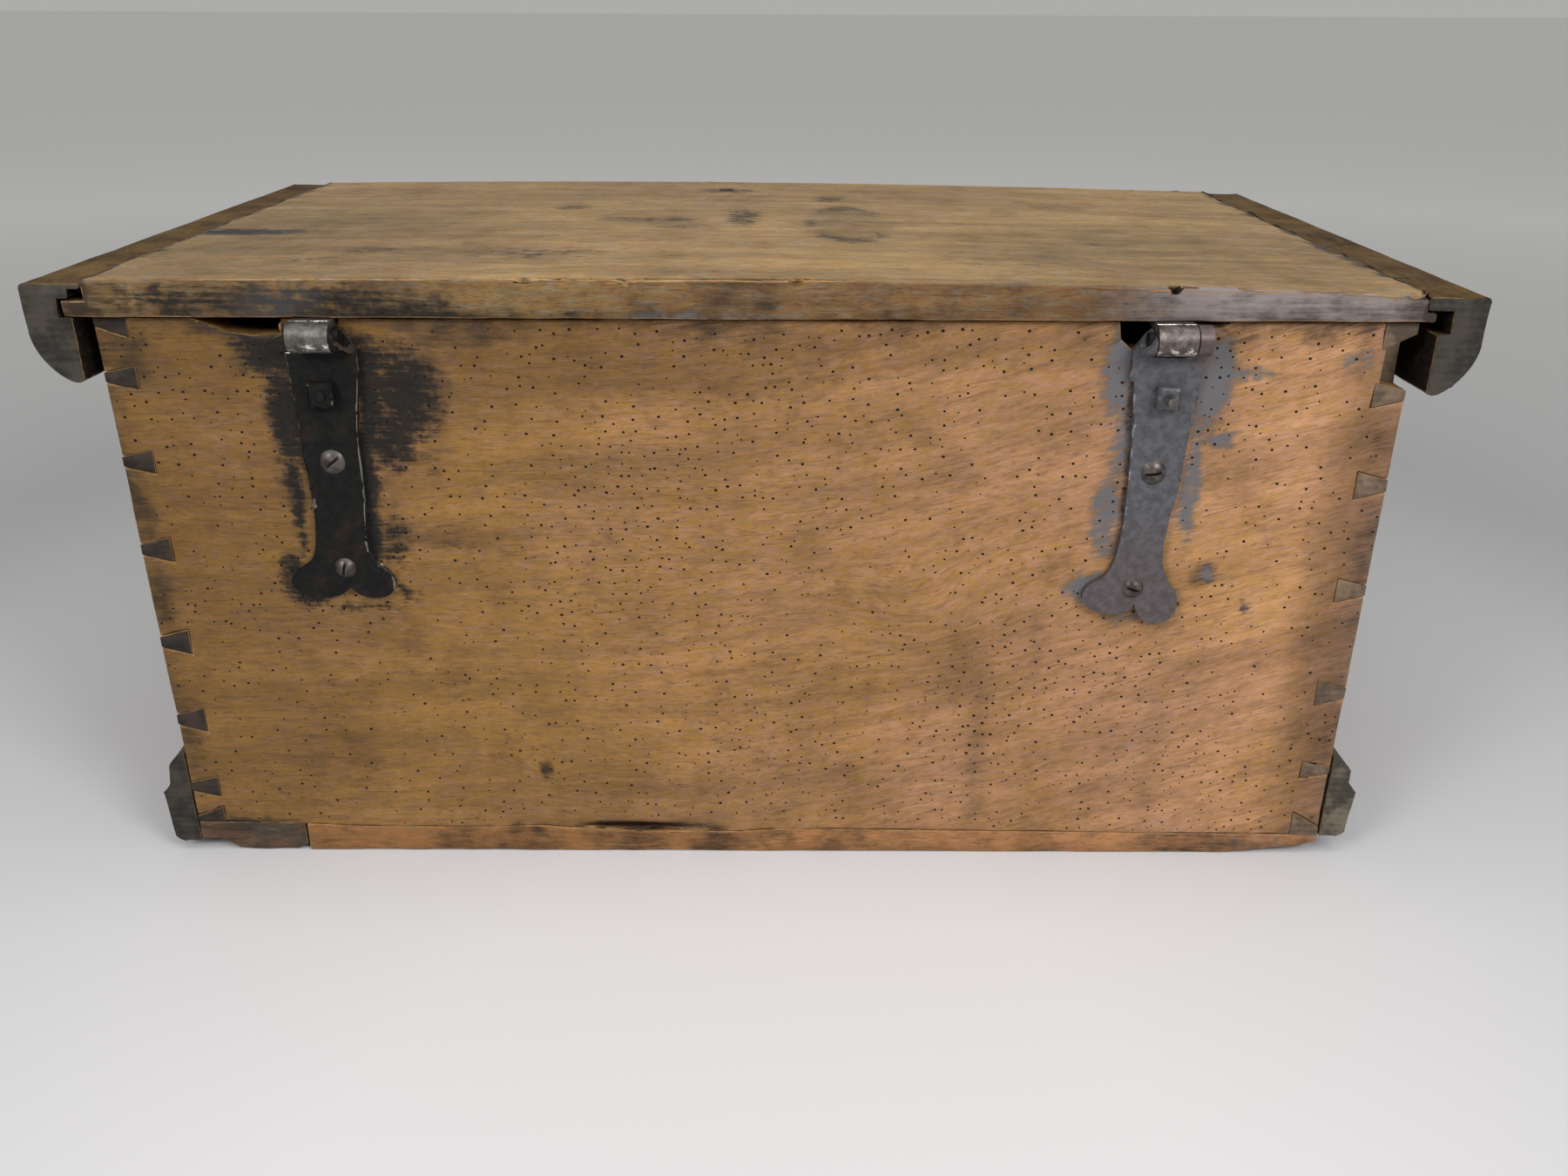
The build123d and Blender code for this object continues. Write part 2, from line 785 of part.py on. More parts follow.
# Lid board, crowned on top, with a tongue along each end
peg_x = lid_half_width + peg_side
with BuildPart() as lid_board:
    with BuildSketch(Plane.XZ.offset(-lid_rear)):
        with BuildLine():
            Polyline(
                (-lid_half_width, lid_underside + lid_thickness_left),
                (-lid_half_width, lid_underside + tongue_thickness_left),
                (-lid_half_width - tongue_length, lid_underside + tongue_thickness_left),
                (-lid_half_width - tongue_length, lid_underside),
                (lid_half_width + tongue_length, lid_underside),
                (lid_half_width + tongue_length, lid_underside + tongue_thickness_right),
                (lid_half_width, lid_underside + tongue_thickness_right),
                (lid_half_width, lid_underside + lid_thickness_right),
            )
            ThreePointArc(
                (lid_half_width, lid_underside + lid_thickness_right),
                (0, lid_underside + lid_thickness),
                (-lid_half_width, lid_underside + lid_thickness_left),
            )
        make_face()
    extrude(amount=lid_depth)
    long_edges = lid_board.edges().filter_by(GeomType.CIRCLE)
    fillet(long_edges.sort_by(Axis.Y)[0], radius=lid_front_round)
    long_edges = lid_board.edges().filter_by(GeomType.CIRCLE)
    fillet(long_edges.sort_by(Axis.Y)[-1], radius=lid_rear_round)
    block(
        (-lid_half_width - tongue_length - overrun, -lid_half_width - tongue_break_left),
        (lid_rear - tongue_break_length, lid_rear + overrun),
        (lid_underside - overrun, lid_underside + tongue_thickness_left + lid_gap),
        Mode.SUBTRACT,
    )
    for sign in (-1, 1):
        for share in peg_shares:
            nail_hole(
                (sign * peg_x, share * lid_depth / 2, lid_underside - overrun),
                (0, 0, 1),
                tongue_thickness_right + 2 * overrun,
                peg_radius,
            )
    for sign, centre in ((-1, strap_centre_left), (1, strap_centre_right)):
        for share in leaf_screw_shares:
            nail_hole(
                (sign * centre, inner_half_depth - share * leaf_length, lid_underside - overrun),
                (0, 0, 1),
                leaf_screw_length - iron_thickness + overrun,
                leaf_screw_radius,
            )
    for sign in (-1, 1):
        nail_hole(
            (sign * staple_nail_side, lock_face + staple_nail_inset, lid_underside - overrun),
            (0, 0, 1),
            (staple_nail_length if sign < 0 else lid_thickness) + 2 * overrun,
        )
save("lid_board", lid_board.part)


def cleat_profile(sign, sag, groove_top, groove_floor):
    """Draws a cleat's section: a top jaw and a hanging lip round the groove for the tongue."""
    inner = lid_half_width
    groove_end = inner + tongue_length + groove_end_gap
    top = lid_underside + cleat_rise - sag
    toe = lid_underside - cleat_drop - sag
    toe_x = inner + cleat_width * cleat_toe_share
    outer = inner + cleat_width
    shoulder = toe + (cleat_rise + cleat_drop) * cleat_shoulder_share
    with BuildLine() as outline:
        Polyline(
            (sign * (inner + cleat_lip_inset), toe + cleat_toe_round),
            (sign * (inner + cleat_lip_inset), groove_floor),
            (sign * groove_end, groove_floor),
            (sign * groove_end, groove_top),
            (sign * inner, groove_top),
            (sign * inner, top),
            (sign * (outer - cleat_edge_round), top),
        )
        RadiusArc(
            (sign * (outer - cleat_edge_round), top),
            (sign * outer, top - cleat_edge_round),
            sign * cleat_edge_round,
        )
        Line((sign * outer, top - cleat_edge_round), (sign * outer, shoulder))
        bow_x, bow_z = cleat_bow_shares
        ThreePointArc(
            (sign * outer, shoulder),
            (sign * (inner + cleat_width * bow_x), toe + (shoulder - toe) * bow_z),
            (sign * toe_x, toe),
        )
        Polyline(
            (sign * toe_x, toe),
            (sign * (inner + cleat_lip_inset), toe + cleat_toe_round),
        )
    make_face(outline.edges())


# Cleats that cap the lid's ends
for name, sign, sag, tongue, slack in (
    ("left", -1, cleat_sag_left, tongue_thickness_left + tongue_fit_left, groove_slack_left),
    ("right", 1, 0, tongue_thickness_right + tongue_fit_right, 0),
):
    groove_top = lid_underside + tongue
    with BuildPart() as lid_cleat:
        with BuildSketch(Plane.XZ.offset(-lid_rear)):
            cleat_profile(sign, sag, groove_top, lid_underside - slack)
        extrude(amount=lid_depth)
        if sign > 0:
            block(
                (lid_half_width - overrun, lid_half_width + seam_chip_width),
                (lid_rear - seam_chip_length, lid_rear + overrun),
                (groove_top - overrun, groove_top + seam_chip_height),
                Mode.SUBTRACT,
            )
        for share in peg_shares:
            nail_hole(
                (sign * peg_x, share * lid_depth / 2, lid_underside),
                (0, 0, 1),
                cleat_rise + overrun,
                peg_radius,
            )
    save("lid_cleat_" + name, lid_cleat.part)

with BuildPart() as cleat_pegs:
    for sign, sag in ((-1, cleat_sag_left), (1, 0)):
        for share in peg_shares:
            shaft(
                (sign * peg_x, share * lid_depth / 2, lid_underside),
                (0, 0, 1),
                peg_radius,
                cleat_rise - sag,
            )
save("cleat_pegs", cleat_pegs.part)


def strap_outline(sign, centre, length, inner_shares, outer_shares):
    """Draws a strap below its loops, as a smith draws it out to a fishtail."""
    inner = [
        (sign * (centre + strap_half_width * across), axis_z - length * down)
        for across, down in inner_shares
    ]
    outer = [
        (sign * (centre + strap_half_width * across), axis_z - length * down)
        for across, down in outer_shares
    ]
    with BuildLine() as outline:
        Spline(*inner)
        Spline(*outer)
        Line(inner[0], outer[0])
    make_face(outline.edges())


def loop_ring(x, mode=Mode.ADD):
    """Adds the iron rolled round the pin between two places along it."""
    shaft((min(x), axis_y, axis_z), (1, 0, 0), loop_radius, max(x) - min(x), mode)


# Straps on the back board, each rolled at its top into one or two ears round the pin
for name, sign, centre, length, inner_shares, outer_shares, ear_shares, loop in (
    (
        "left", -1, strap_centre_left, strap_length_left,
        strap_inner_shares_left, strap_outer_shares_left, ear_shares_left, loop_left,
    ),
    (
        "right", 1, strap_centre_right, strap_length_right,
        strap_inner_shares_right, strap_outer_shares_right, ear_shares_right, loop_right,
    ),
):
    ears = []
    for start, end in ear_shares:
        ears.append((centre + strap_half_width * start, centre + strap_half_width * end))
    with BuildPart() as hinge_strap:
        with BuildSketch(Plane.XZ.offset(-strap_face)):
            strap_outline(sign, centre, length, inner_shares, outer_shares)
        extrude(amount=iron_thickness)
        for ear in ears:
            x = (sign * ear[0], sign * ear[1])
            loop_ring(x)
            block(x, (half_depth, strap_face), (axis_z - length * inner_shares[1][1], axis_z))
        # The inner ear's open end is bevelled, because the strap was tapered before it was rolled
        bevel = Plane(
            origin=(sign * (ears[0][0] + ear_bevel_start), axis_y, axis_z),
            z_dir=(-sign, ear_bevel_rear_slope, ear_bevel_up_slope),
        )
        with BuildSketch(bevel):
            Rectangle(4 * loop_radius, 4 * loop_radius)
        extrude(amount=2 * loop_radius, mode=Mode.SUBTRACT)
        loop_ring((sign * (loop[0] - knuckle_gap), sign * (loop[1] + knuckle_gap)), Mode.SUBTRACT)
        block(
            (sign * (loop[0] - knuckle_gap), sign * (loop[1] + knuckle_gap)),
            (half_depth - overrun, axis_y + loop_radius + overrun),
            (axis_z - loop_radius - loop_gap, axis_z + loop_radius + overrun),
            Mode.SUBTRACT,
        )
        shaft(
            (-half_width, axis_y, axis_z),
            (1, 0, 0),
            pin_radius + pin_clearance,
            case_width,
            Mode.SUBTRACT,
        )
        for bolt_name, x, z, nut_size, end in bolt_places:
            if bolt_name == name:
                shaft(
                    (x, half_depth - overrun, z),
                    (0, 1, 0),
                    bolt_radius + bolt_clearance,
                    iron_thickness + 2 * overrun,
                    Mode.SUBTRACT,
                )
        for x, z, head, turn in screw_places:
            if x * sign > 0:
                nail_hole(
                    (x, half_depth - overrun, z),
                    (0, 1, 0),
                    iron_thickness + 2 * overrun,
                    screw_radius,
                )
    save("hinge_strap_" + name, hinge_strap.part)

    # The pin stops short inside the inner ear, which shows as an open ring
    pin_start = min(place for ear in ears for place in ear) + pin_recess
    pin_end = max(place for pair in (*ears, loop) for place in pair) + knuckle_gap
    with BuildPart() as hinge_pin:
        shaft(
            (min(sign * pin_start, sign * pin_end), axis_y, axis_z),
            (1, 0, 0),
            pin_radius,
            pin_end - pin_start,
        )
    save("hinge_pin_" + name, hinge_pin.part)

    # The leaf runs from its loop through the notch and spreads out under the lid
    with BuildPart() as hinge_leaf:
        loop_ring((sign * loop[0], sign * loop[1]))
        leaf_start = inner_half_depth - iron_thickness
        block(
            (sign * loop[0], sign * loop[1]),
            (leaf_start, axis_y),
            (lid_underside - iron_thickness, lid_underside),
        )
        leaf_end = inner_half_depth - leaf_length
        neck_y = leaf_start - leaf_length * leaf_neck_share
        flare_y = leaf_start - leaf_length * leaf_flare_share
        round_y = leaf_end + leaf_length * leaf_round_share
        with BuildSketch(Plane.XY.offset(lid_underside - iron_thickness)):
            with BuildLine():
                Polyline(
                    (sign * loop[0], leaf_start + iron_thickness),
                    (sign * loop[1], leaf_start + iron_thickness),
                    (sign * loop[1], leaf_start),
                    (sign * (centre + leaf_half_width), neck_y),
                    (sign * (centre + leaf_half_width), flare_y),
                    (sign * (centre + leaf_end_half_width), round_y),
                )
                ThreePointArc(
                    (sign * (centre + leaf_end_half_width), round_y),
                    (sign * centre, leaf_end),
                    (sign * (centre - leaf_end_half_width), round_y),
                )
                Polyline(
                    (sign * (centre - leaf_end_half_width), round_y),
                    (sign * (centre - leaf_half_width), flare_y),
                    (sign * (centre - leaf_half_width), neck_y),
                    (sign * loop[0], leaf_start),
                    (sign * loop[0], leaf_start + iron_thickness),
                )
            make_face()
        extrude(amount=iron_thickness)
        shaft(
            (-half_width, axis_y, axis_z),
            (1, 0, 0),
            pin_radius + pin_clearance,
            case_width,
            Mode.SUBTRACT,
        )
        for share in leaf_screw_shares:
            nail_hole(
                (sign * centre, inner_half_depth - share * leaf_length, lid_underside + overrun),
                (0, 0, -1),
                iron_thickness + 2 * overrun,
                leaf_screw_radius,
            )
    save("hinge_leaf_" + name, hinge_leaf.part)

# Slotted round-head screws of the straps
with BuildPart() as strap_screws:
    for x, z, head, turn in screw_places:
        slot_run = (math.cos(math.radians(turn)), 0, math.sin(math.radians(turn)))
        crown = Plane(origin=(x, strap_face + screw_head_rise, z), x_dir=slot_run, z_dir=(0, 1, 0))
        foot = (x, strap_face, z)
        fastener(foot, (0, 1, 0), crown.y_dir, screw_radius, screw_length, head, screw_head_rise)
        with BuildSketch(crown):
            Rectangle(2 * head, screw_slot_width)
        extrude(amount=-screw_slot_depth, mode=Mode.SUBTRACT)
save("strap_screws", strap_screws.part)

# Bolts through the straps and the back board, and their square nuts
for name, x, z, nut_size, end in bolt_places:
    with BuildPart() as strap_bolt:
        fastener(
            (x, inner_half_depth, z),
            (0, -1, 0),
            (1, 0, 0),
            bolt_radius,
            board_thickness + iron_thickness + nut_thickness + end,
            bolt_head_radius,
            bolt_head_rise,
        )
    save("strap_bolt_" + name, strap_bolt.part)
    with BuildPart() as strap_nut:
        with BuildSketch(Plane(origin=(x, strap_face, z), x_dir=(1, 0, 0), z_dir=(0, 1, 0))):
            Rectangle(nut_size, nut_size)
            Circle(bolt_radius + bolt_clearance, mode=Mode.SUBTRACT)
        extrude(amount=nut_thickness)
        outer_rim = strap_nut.faces().sort_by(Axis.Y)[-1].outer_wire().edges()
        chamfer(outer_rim, length=nut_chamfer)
    save("strap_nut_" + name, strap_nut.part)

# Screws of the leaves, driven up into the lid
with BuildPart() as leaf_screws:
    for sign, centre in ((-1, strap_centre_left), (1, strap_centre_right)):
        for share in leaf_screw_shares:
            foot = (
                sign * centre,
                inner_half_depth - share * leaf_length,
                lid_underside - iron_thickness,
            )
            fastener(
                foot,
                (0, 0, -1),
                (1, 0, 0),
                leaf_screw_radius,
                leaf_screw_length,
                leaf_screw_head_radius,
                leaf_screw_head_rise,
            )
            with BuildSketch(Plane(origin=Vector(*foot) - (0, 0, leaf_screw_head_rise), z_dir=(0, 0, -1))):
                Rectangle(2 * leaf_screw_head_radius, screw_slot_width)
            extrude(amount=-screw_slot_depth, mode=Mode.SUBTRACT)
save("leaf_screws", leaf_screws.part)

# Lock plate on the inner face of the front board
with BuildPart() as lock_plate:
    block(
        (-lock_plate_width / 2, lock_plate_width / 2),
        (lock_face, lock_plate_face),
        (lock_top - lock_plate_height, lock_top),
    )
    keyhole(lock_face - overrun, lock_plate_thickness + 2 * overrun)
    for x, z in lock_nail_places:
        nail_hole((x, lock_face - overrun, z), (0, 1, 0), lock_plate_thickness + 2 * overrun)
save("lock_plate", lock_plate.part)

# Case over the works, open towards the plate, with a slot in its top for the staple
case_bottom = lock_top - lock_case_height
case_rear = lock_plate_face + lock_case_depth
with BuildPart() as lock_case:
    block(
        (-lock_case_width / 2, lock_case_width / 2),
        (lock_plate_face, case_rear),
        (case_bottom, lock_top),
    )
    block(
        (-lock_case_width / 2 + lock_case_wall, lock_case_width / 2 - lock_case_wall),
        (lock_plate_face - overrun, case_rear - lock_case_wall),
        (case_bottom + lock_case_wall, lock_top - lock_case_wall),
        Mode.SUBTRACT,
    )
    block(
        (-staple_thickness / 2 - staple_side_gap, staple_thickness / 2 + staple_side_gap),
        (staple_front - staple_slot_front_gap, staple_rear + staple_slot_rear_gap),
        (lock_top - lock_case_wall - overrun, lock_top + overrun),
        Mode.SUBTRACT,
    )
save("lock_case", lock_case.part)

# Sliding bolt: a bar that passes through the staple, on a heel that runs along the plate
bolt_bar_start = staple_thickness / 2 + bolt_rest_gap
bolt_bar_end = lock_case_width / 2 - lock_case_wall - bolt_end_gap
bar_y = (bolt_bar_y - bolt_bar_width / 2, bolt_bar_y + bolt_bar_width / 2)
bar_z = (bolt_bar_z - bolt_bar_height / 2, bolt_bar_z + bolt_bar_height / 2)
with BuildPart() as lock_bolt:
    block((bolt_bar_start, bolt_bar_end), bar_y, bar_z)
    block(
        (bolt_bar_end - bolt_heel_length, bolt_bar_end),
        (lock_plate_face + bolt_slide_gap, bar_y[1]),
        bar_z,
    )
    notch_x = bolt_bar_end - bolt_heel_length / 2
    block(
        (notch_x - key_notch_width / 2, notch_x + key_notch_width / 2),
        (lock_plate_face, bar_y[1] + overrun),
        (bar_z[0] - overrun, bar_z[0] + key_notch_depth),
        Mode.SUBTRACT,
    )
save("lock_bolt", lock_bolt.part)

# Bridges on the plate that guide the bolt
with BuildPart() as bolt_guides:
    for share in guide_shares:
        x = bolt_bar_start + (bolt_bar_end - bolt_bar_start) * share
        block(
            (x - guide_width / 2, x + guide_width / 2),
            (lock_plate_face, bar_y[1] + bolt_slide_gap + guide_thickness),
            (
                bar_z[0] - bolt_slide_gap - guide_thickness,
                bar_z[1] + bolt_slide_gap + guide_thickness,
            ),
        )
    block(
        (bolt_bar_start, bolt_bar_end),
        (lock_plate_face - overrun, bar_y[1] + bolt_slide_gap),
        (bar_z[0] - bolt_slide_gap, bar_z[1] + bolt_slide_gap),
        Mode.SUBTRACT,
    )
save("bolt_guides", bolt_guides.part)

with BuildPart() as lock_nails:
    for x, z in lock_nail_places:
        fastener(
            (x, lock_plate_face, z),
            (0, 1, 0),
            (1, 0, 0),
            nail_radius,
            lock_nail_length,
            nail_head_radius,
            nail_head_rise,
        )
save("lock_nails", lock_nails.part)

# Keyhole escutcheon on the front, a waisted iron plate held by two pins
with BuildPart() as keyhole_escutcheon:
    tall = escutcheon_height / 2
    wide = escutcheon_width / 2
    waist = wide * escutcheon_waist_share
    dip = tall * escutcheon_dip_share
    front_plane = Plane(
        origin=(keyhole_side, -half_depth, keyhole_z), x_dir=(1, 0, 0), z_dir=(0, -1, 0)
    )
    with BuildSketch(front_plane):
        with BuildLine():
            ThreePointArc((-waist, tall), (0, dip), (waist, tall))
            ThreePointArc((waist, tall), (wide, 0), (waist, -tall))
            ThreePointArc((waist, -tall), (0, -dip), (-waist, -tall))
            ThreePointArc((-waist, -tall), (-wide, 0), (-waist, tall))
        make_face()
    extrude(amount=escutcheon_thickness)
    keyhole(-half_depth - escutcheon_thickness - overrun, escutcheon_thickness + 2 * overrun)
    for x, z in escutcheon_pin_places:
        nail_hole((x, overrun - half_depth, z), (0, -1, 0), escutcheon_thickness + 2 * overrun)
save("keyhole_escutcheon", keyhole_escutcheon.part)

with BuildPart() as escutcheon_pins:
    for x, z in escutcheon_pin_places:
        fastener(
            (x, -half_depth - escutcheon_thickness, z),
            (0, -1, 0),
            (1, 0, 0),
            nail_radius,
            lock_nail_length,
            escutcheon_head_radius,
            escutcheon_head_rise,
        )
save("escutcheon_pins", escutcheon_pins.part)

# Staple under the lid: a plate with a tongue whose eye takes the lock's bolt
with BuildPart() as lid_staple:
    block(
        (-staple_plate_width / 2, staple_plate_width / 2),
        (lock_face + staple_plate_inset, lock_face + staple_plate_inset + staple_plate_depth),
        (lid_underside - staple_plate_thickness, lid_underside),
    )
    block(
        (-staple_thickness / 2, staple_thickness / 2),
        (staple_front, staple_rear),
        (staple_bottom, lid_underside),
    )
    tongue_corners = lid_staple.edges().filter_by(Axis.X).group_by(Axis.Z)[0]
    chamfer(tongue_corners, length=staple_hole_lift / 2)
    block(
        (-staple_thickness, staple_thickness),
        staple_hole_y,
        staple_hole_z,
        Mode.SUBTRACT,
    )
    for sign in (-1, 1):
        nail_hole(
            (sign * staple_nail_side, lock_face + staple_nail_inset, lid_underside + overrun),
            (0, 0, -1),
            staple_plate_thickness + 2 * overrun,
        )
save("lid_staple", lid_staple.part)

# Nails of the staple: one stops in the board, the other comes through and is clenched on top
with BuildPart() as staple_nails:
    for sign in (-1, 1):
        foot = (
            sign * staple_nail_side,
            lock_face + staple_nail_inset,
            lid_underside - staple_plate_thickness,
        )
        through = staple_plate_thickness + lid_thickness + clench_gap + clench_rise
        fastener(
            foot,
            (0, 0, -1),
            (1, 0, 0),
            nail_radius,
            staple_nail_length if sign < 0 else through,
            nail_head_radius,
            nail_head_rise,
        )
    clench_z = lid_underside + lid_thickness + clench_gap
    block(
        (staple_nail_side - nail_radius, staple_nail_side + clench_length),
        (
            lock_face + staple_nail_inset - nail_radius,
            lock_face + staple_nail_inset + nail_radius,
        ),
        (clench_z, clench_z + clench_rise),
    )
save("staple_nails", staple_nails.part)
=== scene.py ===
# %% [markdown]
# # An old walnut chest, seen from behind
# The chest is about 640 mm wide: walnut boards dovetailed at the corners, a lid capped by two
# cleats, and two forged strap hinges. The CAD model already gives every piece its exact size
# and its joints. Blender's part is age: softened corners, beetle holes, grain, stains and rust.
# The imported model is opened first, and its box is kept, because nothing here may grow past it.

import json
import math
import random

import bmesh
import bpy
from mathutils import Matrix, Vector, noise

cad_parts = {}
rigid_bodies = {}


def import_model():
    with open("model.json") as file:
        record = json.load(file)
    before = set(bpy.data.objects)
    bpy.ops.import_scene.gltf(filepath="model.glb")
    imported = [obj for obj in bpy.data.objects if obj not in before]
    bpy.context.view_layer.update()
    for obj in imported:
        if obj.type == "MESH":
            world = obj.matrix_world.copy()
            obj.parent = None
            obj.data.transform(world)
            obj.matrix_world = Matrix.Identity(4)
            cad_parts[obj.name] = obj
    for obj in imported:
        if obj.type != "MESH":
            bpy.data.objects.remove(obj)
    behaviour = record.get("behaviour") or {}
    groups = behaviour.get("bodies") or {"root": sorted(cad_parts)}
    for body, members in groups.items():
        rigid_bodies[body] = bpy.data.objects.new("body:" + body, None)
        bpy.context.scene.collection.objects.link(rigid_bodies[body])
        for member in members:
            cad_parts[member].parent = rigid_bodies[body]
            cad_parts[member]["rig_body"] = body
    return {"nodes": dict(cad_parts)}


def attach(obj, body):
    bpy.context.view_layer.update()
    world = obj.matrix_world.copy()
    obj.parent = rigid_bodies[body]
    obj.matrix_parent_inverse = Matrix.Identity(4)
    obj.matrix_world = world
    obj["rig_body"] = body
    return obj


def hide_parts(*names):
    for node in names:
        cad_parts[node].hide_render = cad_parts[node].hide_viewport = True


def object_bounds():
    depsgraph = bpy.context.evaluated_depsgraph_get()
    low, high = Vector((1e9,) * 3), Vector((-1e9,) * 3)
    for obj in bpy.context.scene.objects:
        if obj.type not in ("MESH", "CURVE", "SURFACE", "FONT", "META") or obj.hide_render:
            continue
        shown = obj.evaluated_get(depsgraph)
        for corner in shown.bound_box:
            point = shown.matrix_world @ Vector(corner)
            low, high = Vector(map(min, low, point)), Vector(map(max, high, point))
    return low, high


MM = 0.001

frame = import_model()
cad_low, cad_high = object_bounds()
print("pieces in the frame:", len(frame["nodes"]))

# %% [markdown]
# The camera stood 573 mm behind the back board, a little above the lid, looking 24 degrees
# down through a wide lens. Its place was worked out from the straight edges in the photograph.
# A camera matrix is built from three directions, which is clearer than three Euler angles.

# %% Place the camera
EYE_PLACE = (-11.4, 736.6, 405.8)  # mm
TURNS = (0.11, 23.95, 0.26)  # yaw, pitch and roll in degrees
FILM_WIDTH, LENS = 36.0, 30.054  # mm

eye = Vector(EYE_PLACE) * MM
yaw, pitch, roll = (math.radians(turn) for turn in TURNS)
ahead = Vector((-math.sin(yaw) * math.cos(pitch), -math.cos(yaw) * math.cos(pitch), -math.sin(pitch)))
level = Vector((-math.cos(yaw), math.sin(yaw), 0.0))
above = level.cross(ahead)
across = level * math.cos(roll) + above * math.sin(roll)
upright = above * math.cos(roll) - level * math.sin(roll)



def new_object(name, data):
    """A new object in the scene."""
    thing = bpy.data.objects.new(name, data)
    bpy.context.collection.objects.link(thing)
    return thing


camera = new_object("camera", bpy.data.cameras.new("camera"))
camera.data.sensor_width = FILM_WIDTH
camera.data.lens = LENS
camera.matrix_world = Matrix.Translation(eye) @ Matrix((across, upright, -ahead)).transposed().to_4x4()
bpy.context.scene.camera = camera
bpy.context.scene.view_settings.view_transform = "Standard"
print("camera height", round(eye.z, 3), "m, lens", LENS, "mm")

# %% [markdown]
# In the photograph both straps throw their shadow towards the middle, so a lamp stood on each
# side, above the camera. A third, wide one overhead lights the lid, and the world lifts the
# shadows. They are set so that a colour renders about as it is written.

# %% Light it like a small photo studio
ROOM_COLOUR, ROOM_LIGHT = (1.0, 0.99, 0.97, 1.0), 0.42

world = bpy.data.worlds.new("studio")
world.use_nodes = True
background = world.node_tree.nodes["Background"]
background.inputs["Color"].default_value = ROOM_COLOUR
background.inputs["Strength"].default_value = ROOM_LIGHT
bpy.context.scene.world = world

# name, place and aim in metres, width and depth, power in watts
lamps = (
    ("right lamp", (-1.0, 1.25, 1.15), (-0.05, 0.1, 0.12), (0.55, 0.55), 16.0),
    ("left lamp", (1.0, 1.2, 1.1), (0.05, 0.1, 0.12), (0.55, 0.55), 12.0),
    ("overhead", (0.0, 0.35, 1.5), (0.0, 0.2, 0.0), (1.2, 0.9), 9.0),
)
for name, place, aim, size, power in lamps:
    lamp = new_object(name, bpy.data.lights.new(name, "AREA"))
    lamp.data.shape = "RECTANGLE"
    lamp.data.size, lamp.data.size_y = size
    lamp.data.energy = power
    lamp.location = place
    lamp.rotation_euler = (Vector(aim) - Vector(place)).to_track_quat("-Z", "Y").to_euler()
print("lamps:", [lamp[0] for lamp in lamps])

# %% [markdown]
# A few small tools serve the whole lesson. A shader wants linear numbers, while a colour given here is an
# sRGB hex value, so one function turns the second into the first. Another adds a node with its settings and
# links, and the others are as small.
#
# Inputs are named or counted from 0. In a mix node 0 is the share, 2 and 3 are its numbers, 6 and
# 7 its colours, and output 2 is the mixed colour. In a map range node 1 and 2 are the range that
# comes in, and 3 and 4 the range that goes out, from 0 to 1 unless they are given.

# %% Helpers for colours, nodes and soft steps
COLOURS = {"data_type": "RGBA"}  # makes a mix node mix colours
SMOOTH = {"interpolation_type": "SMOOTHSTEP"}  # makes a map range node ease in and out


def linear(colour):
    """An sRGB hex colour, such as "#7a5b39", as the four linear numbers that a shader takes."""
    parts = [int(colour[i : i + 2], 16) / 255 for i in (1, 3, 5)]
    return [p / 12.92 if p <= 0.04045 else ((p + 0.055) / 1.055) ** 2.4 for p in parts] + [1.0]


def feed(node, inputs):
    """Gives a node's inputs their values, hex colours or links."""
    for name, value in inputs.items():
        if isinstance(value, bpy.types.NodeSocket):
            node.id_data.links.new(value, node.inputs[name])
        else:
            node.inputs[name].default_value = linear(value) if isinstance(value, str) else value


def add(tree, kind, inputs, output=0, **settings):
    """Adds a node with its settings and inputs, and returns one of its outputs."""
    node = tree.nodes.new("ShaderNode" + kind)
    for name, value in settings.items():
        setattr(node, name, value)
    feed(node, inputs)
    return node.outputs[output]


def new_material(name):
    """A new material, with its node tree and the shader that the tree feeds."""
    material = bpy.data.materials.new(name)
    material.use_nodes = True
    return material, material.node_tree, material.node_tree.nodes["Principled BSDF"]


def three_numbers(tree, name):
    """The three numbers that each point carries under a name, as three outputs."""
    carried = add(tree, "Attribute", {}, 1, attribute_name=name)
    return add(tree, "SeparateXYZ", {0: carried}).node.outputs


def soft_step(low, high, value):
    """0 below low, 1 above high, and a smooth rise between them."""
    share = min(max((value - low) / (high - low), 0.0), 1.0)
    return share * share * (3 - 2 * share)


print("old walnut in linear light:", [round(v, 3) for v in linear("#926e46")])

# %% [markdown]
# Walnut is brown with darker figure, fine growth lines and open pores, all stretched along the grain. The
# pattern has to follow each board's own grain, so every board carries an attribute named "grain": how far a
# point lies along, across and through the grain, in millimetres. The noise textures read it divided by the
# real size of what they draw. A second attribute, "marks", says where iron has stained the wood blue-black,
# where hands have left grime, where shade is painted as dark dirt, and which corners are rubbed. A third,
# "tones", says how red and how dark the board is there, and how much painted shade darkens holes and deep
# dents.

# %% Clean walnut, from its broad figure to its pores
FIGURE = (1 / 160, 1 / 15, 1 / 15)  # broad bands of tone, about 15 mm wide
MOTTLE = (1 / 9, 1 / 2.6, 1 / 2.6)  # gold, rose and grey patches, 9 mm long and under 3 mm wide
GROWTH = (1 / 34, 1 / 1.5, 1 / 4)  # growth lines, about 1.5 mm apart
FIBRE = (1 / 10, 1 / 0.7, 1 / 0.7)  # fine fibres, drawn about 0.7 mm wide so that they show
PORE = (1 / 4, 1 / 0.5, 1 / 0.5)  # open pores: dark dashes 4 mm long and 0.5 mm wide
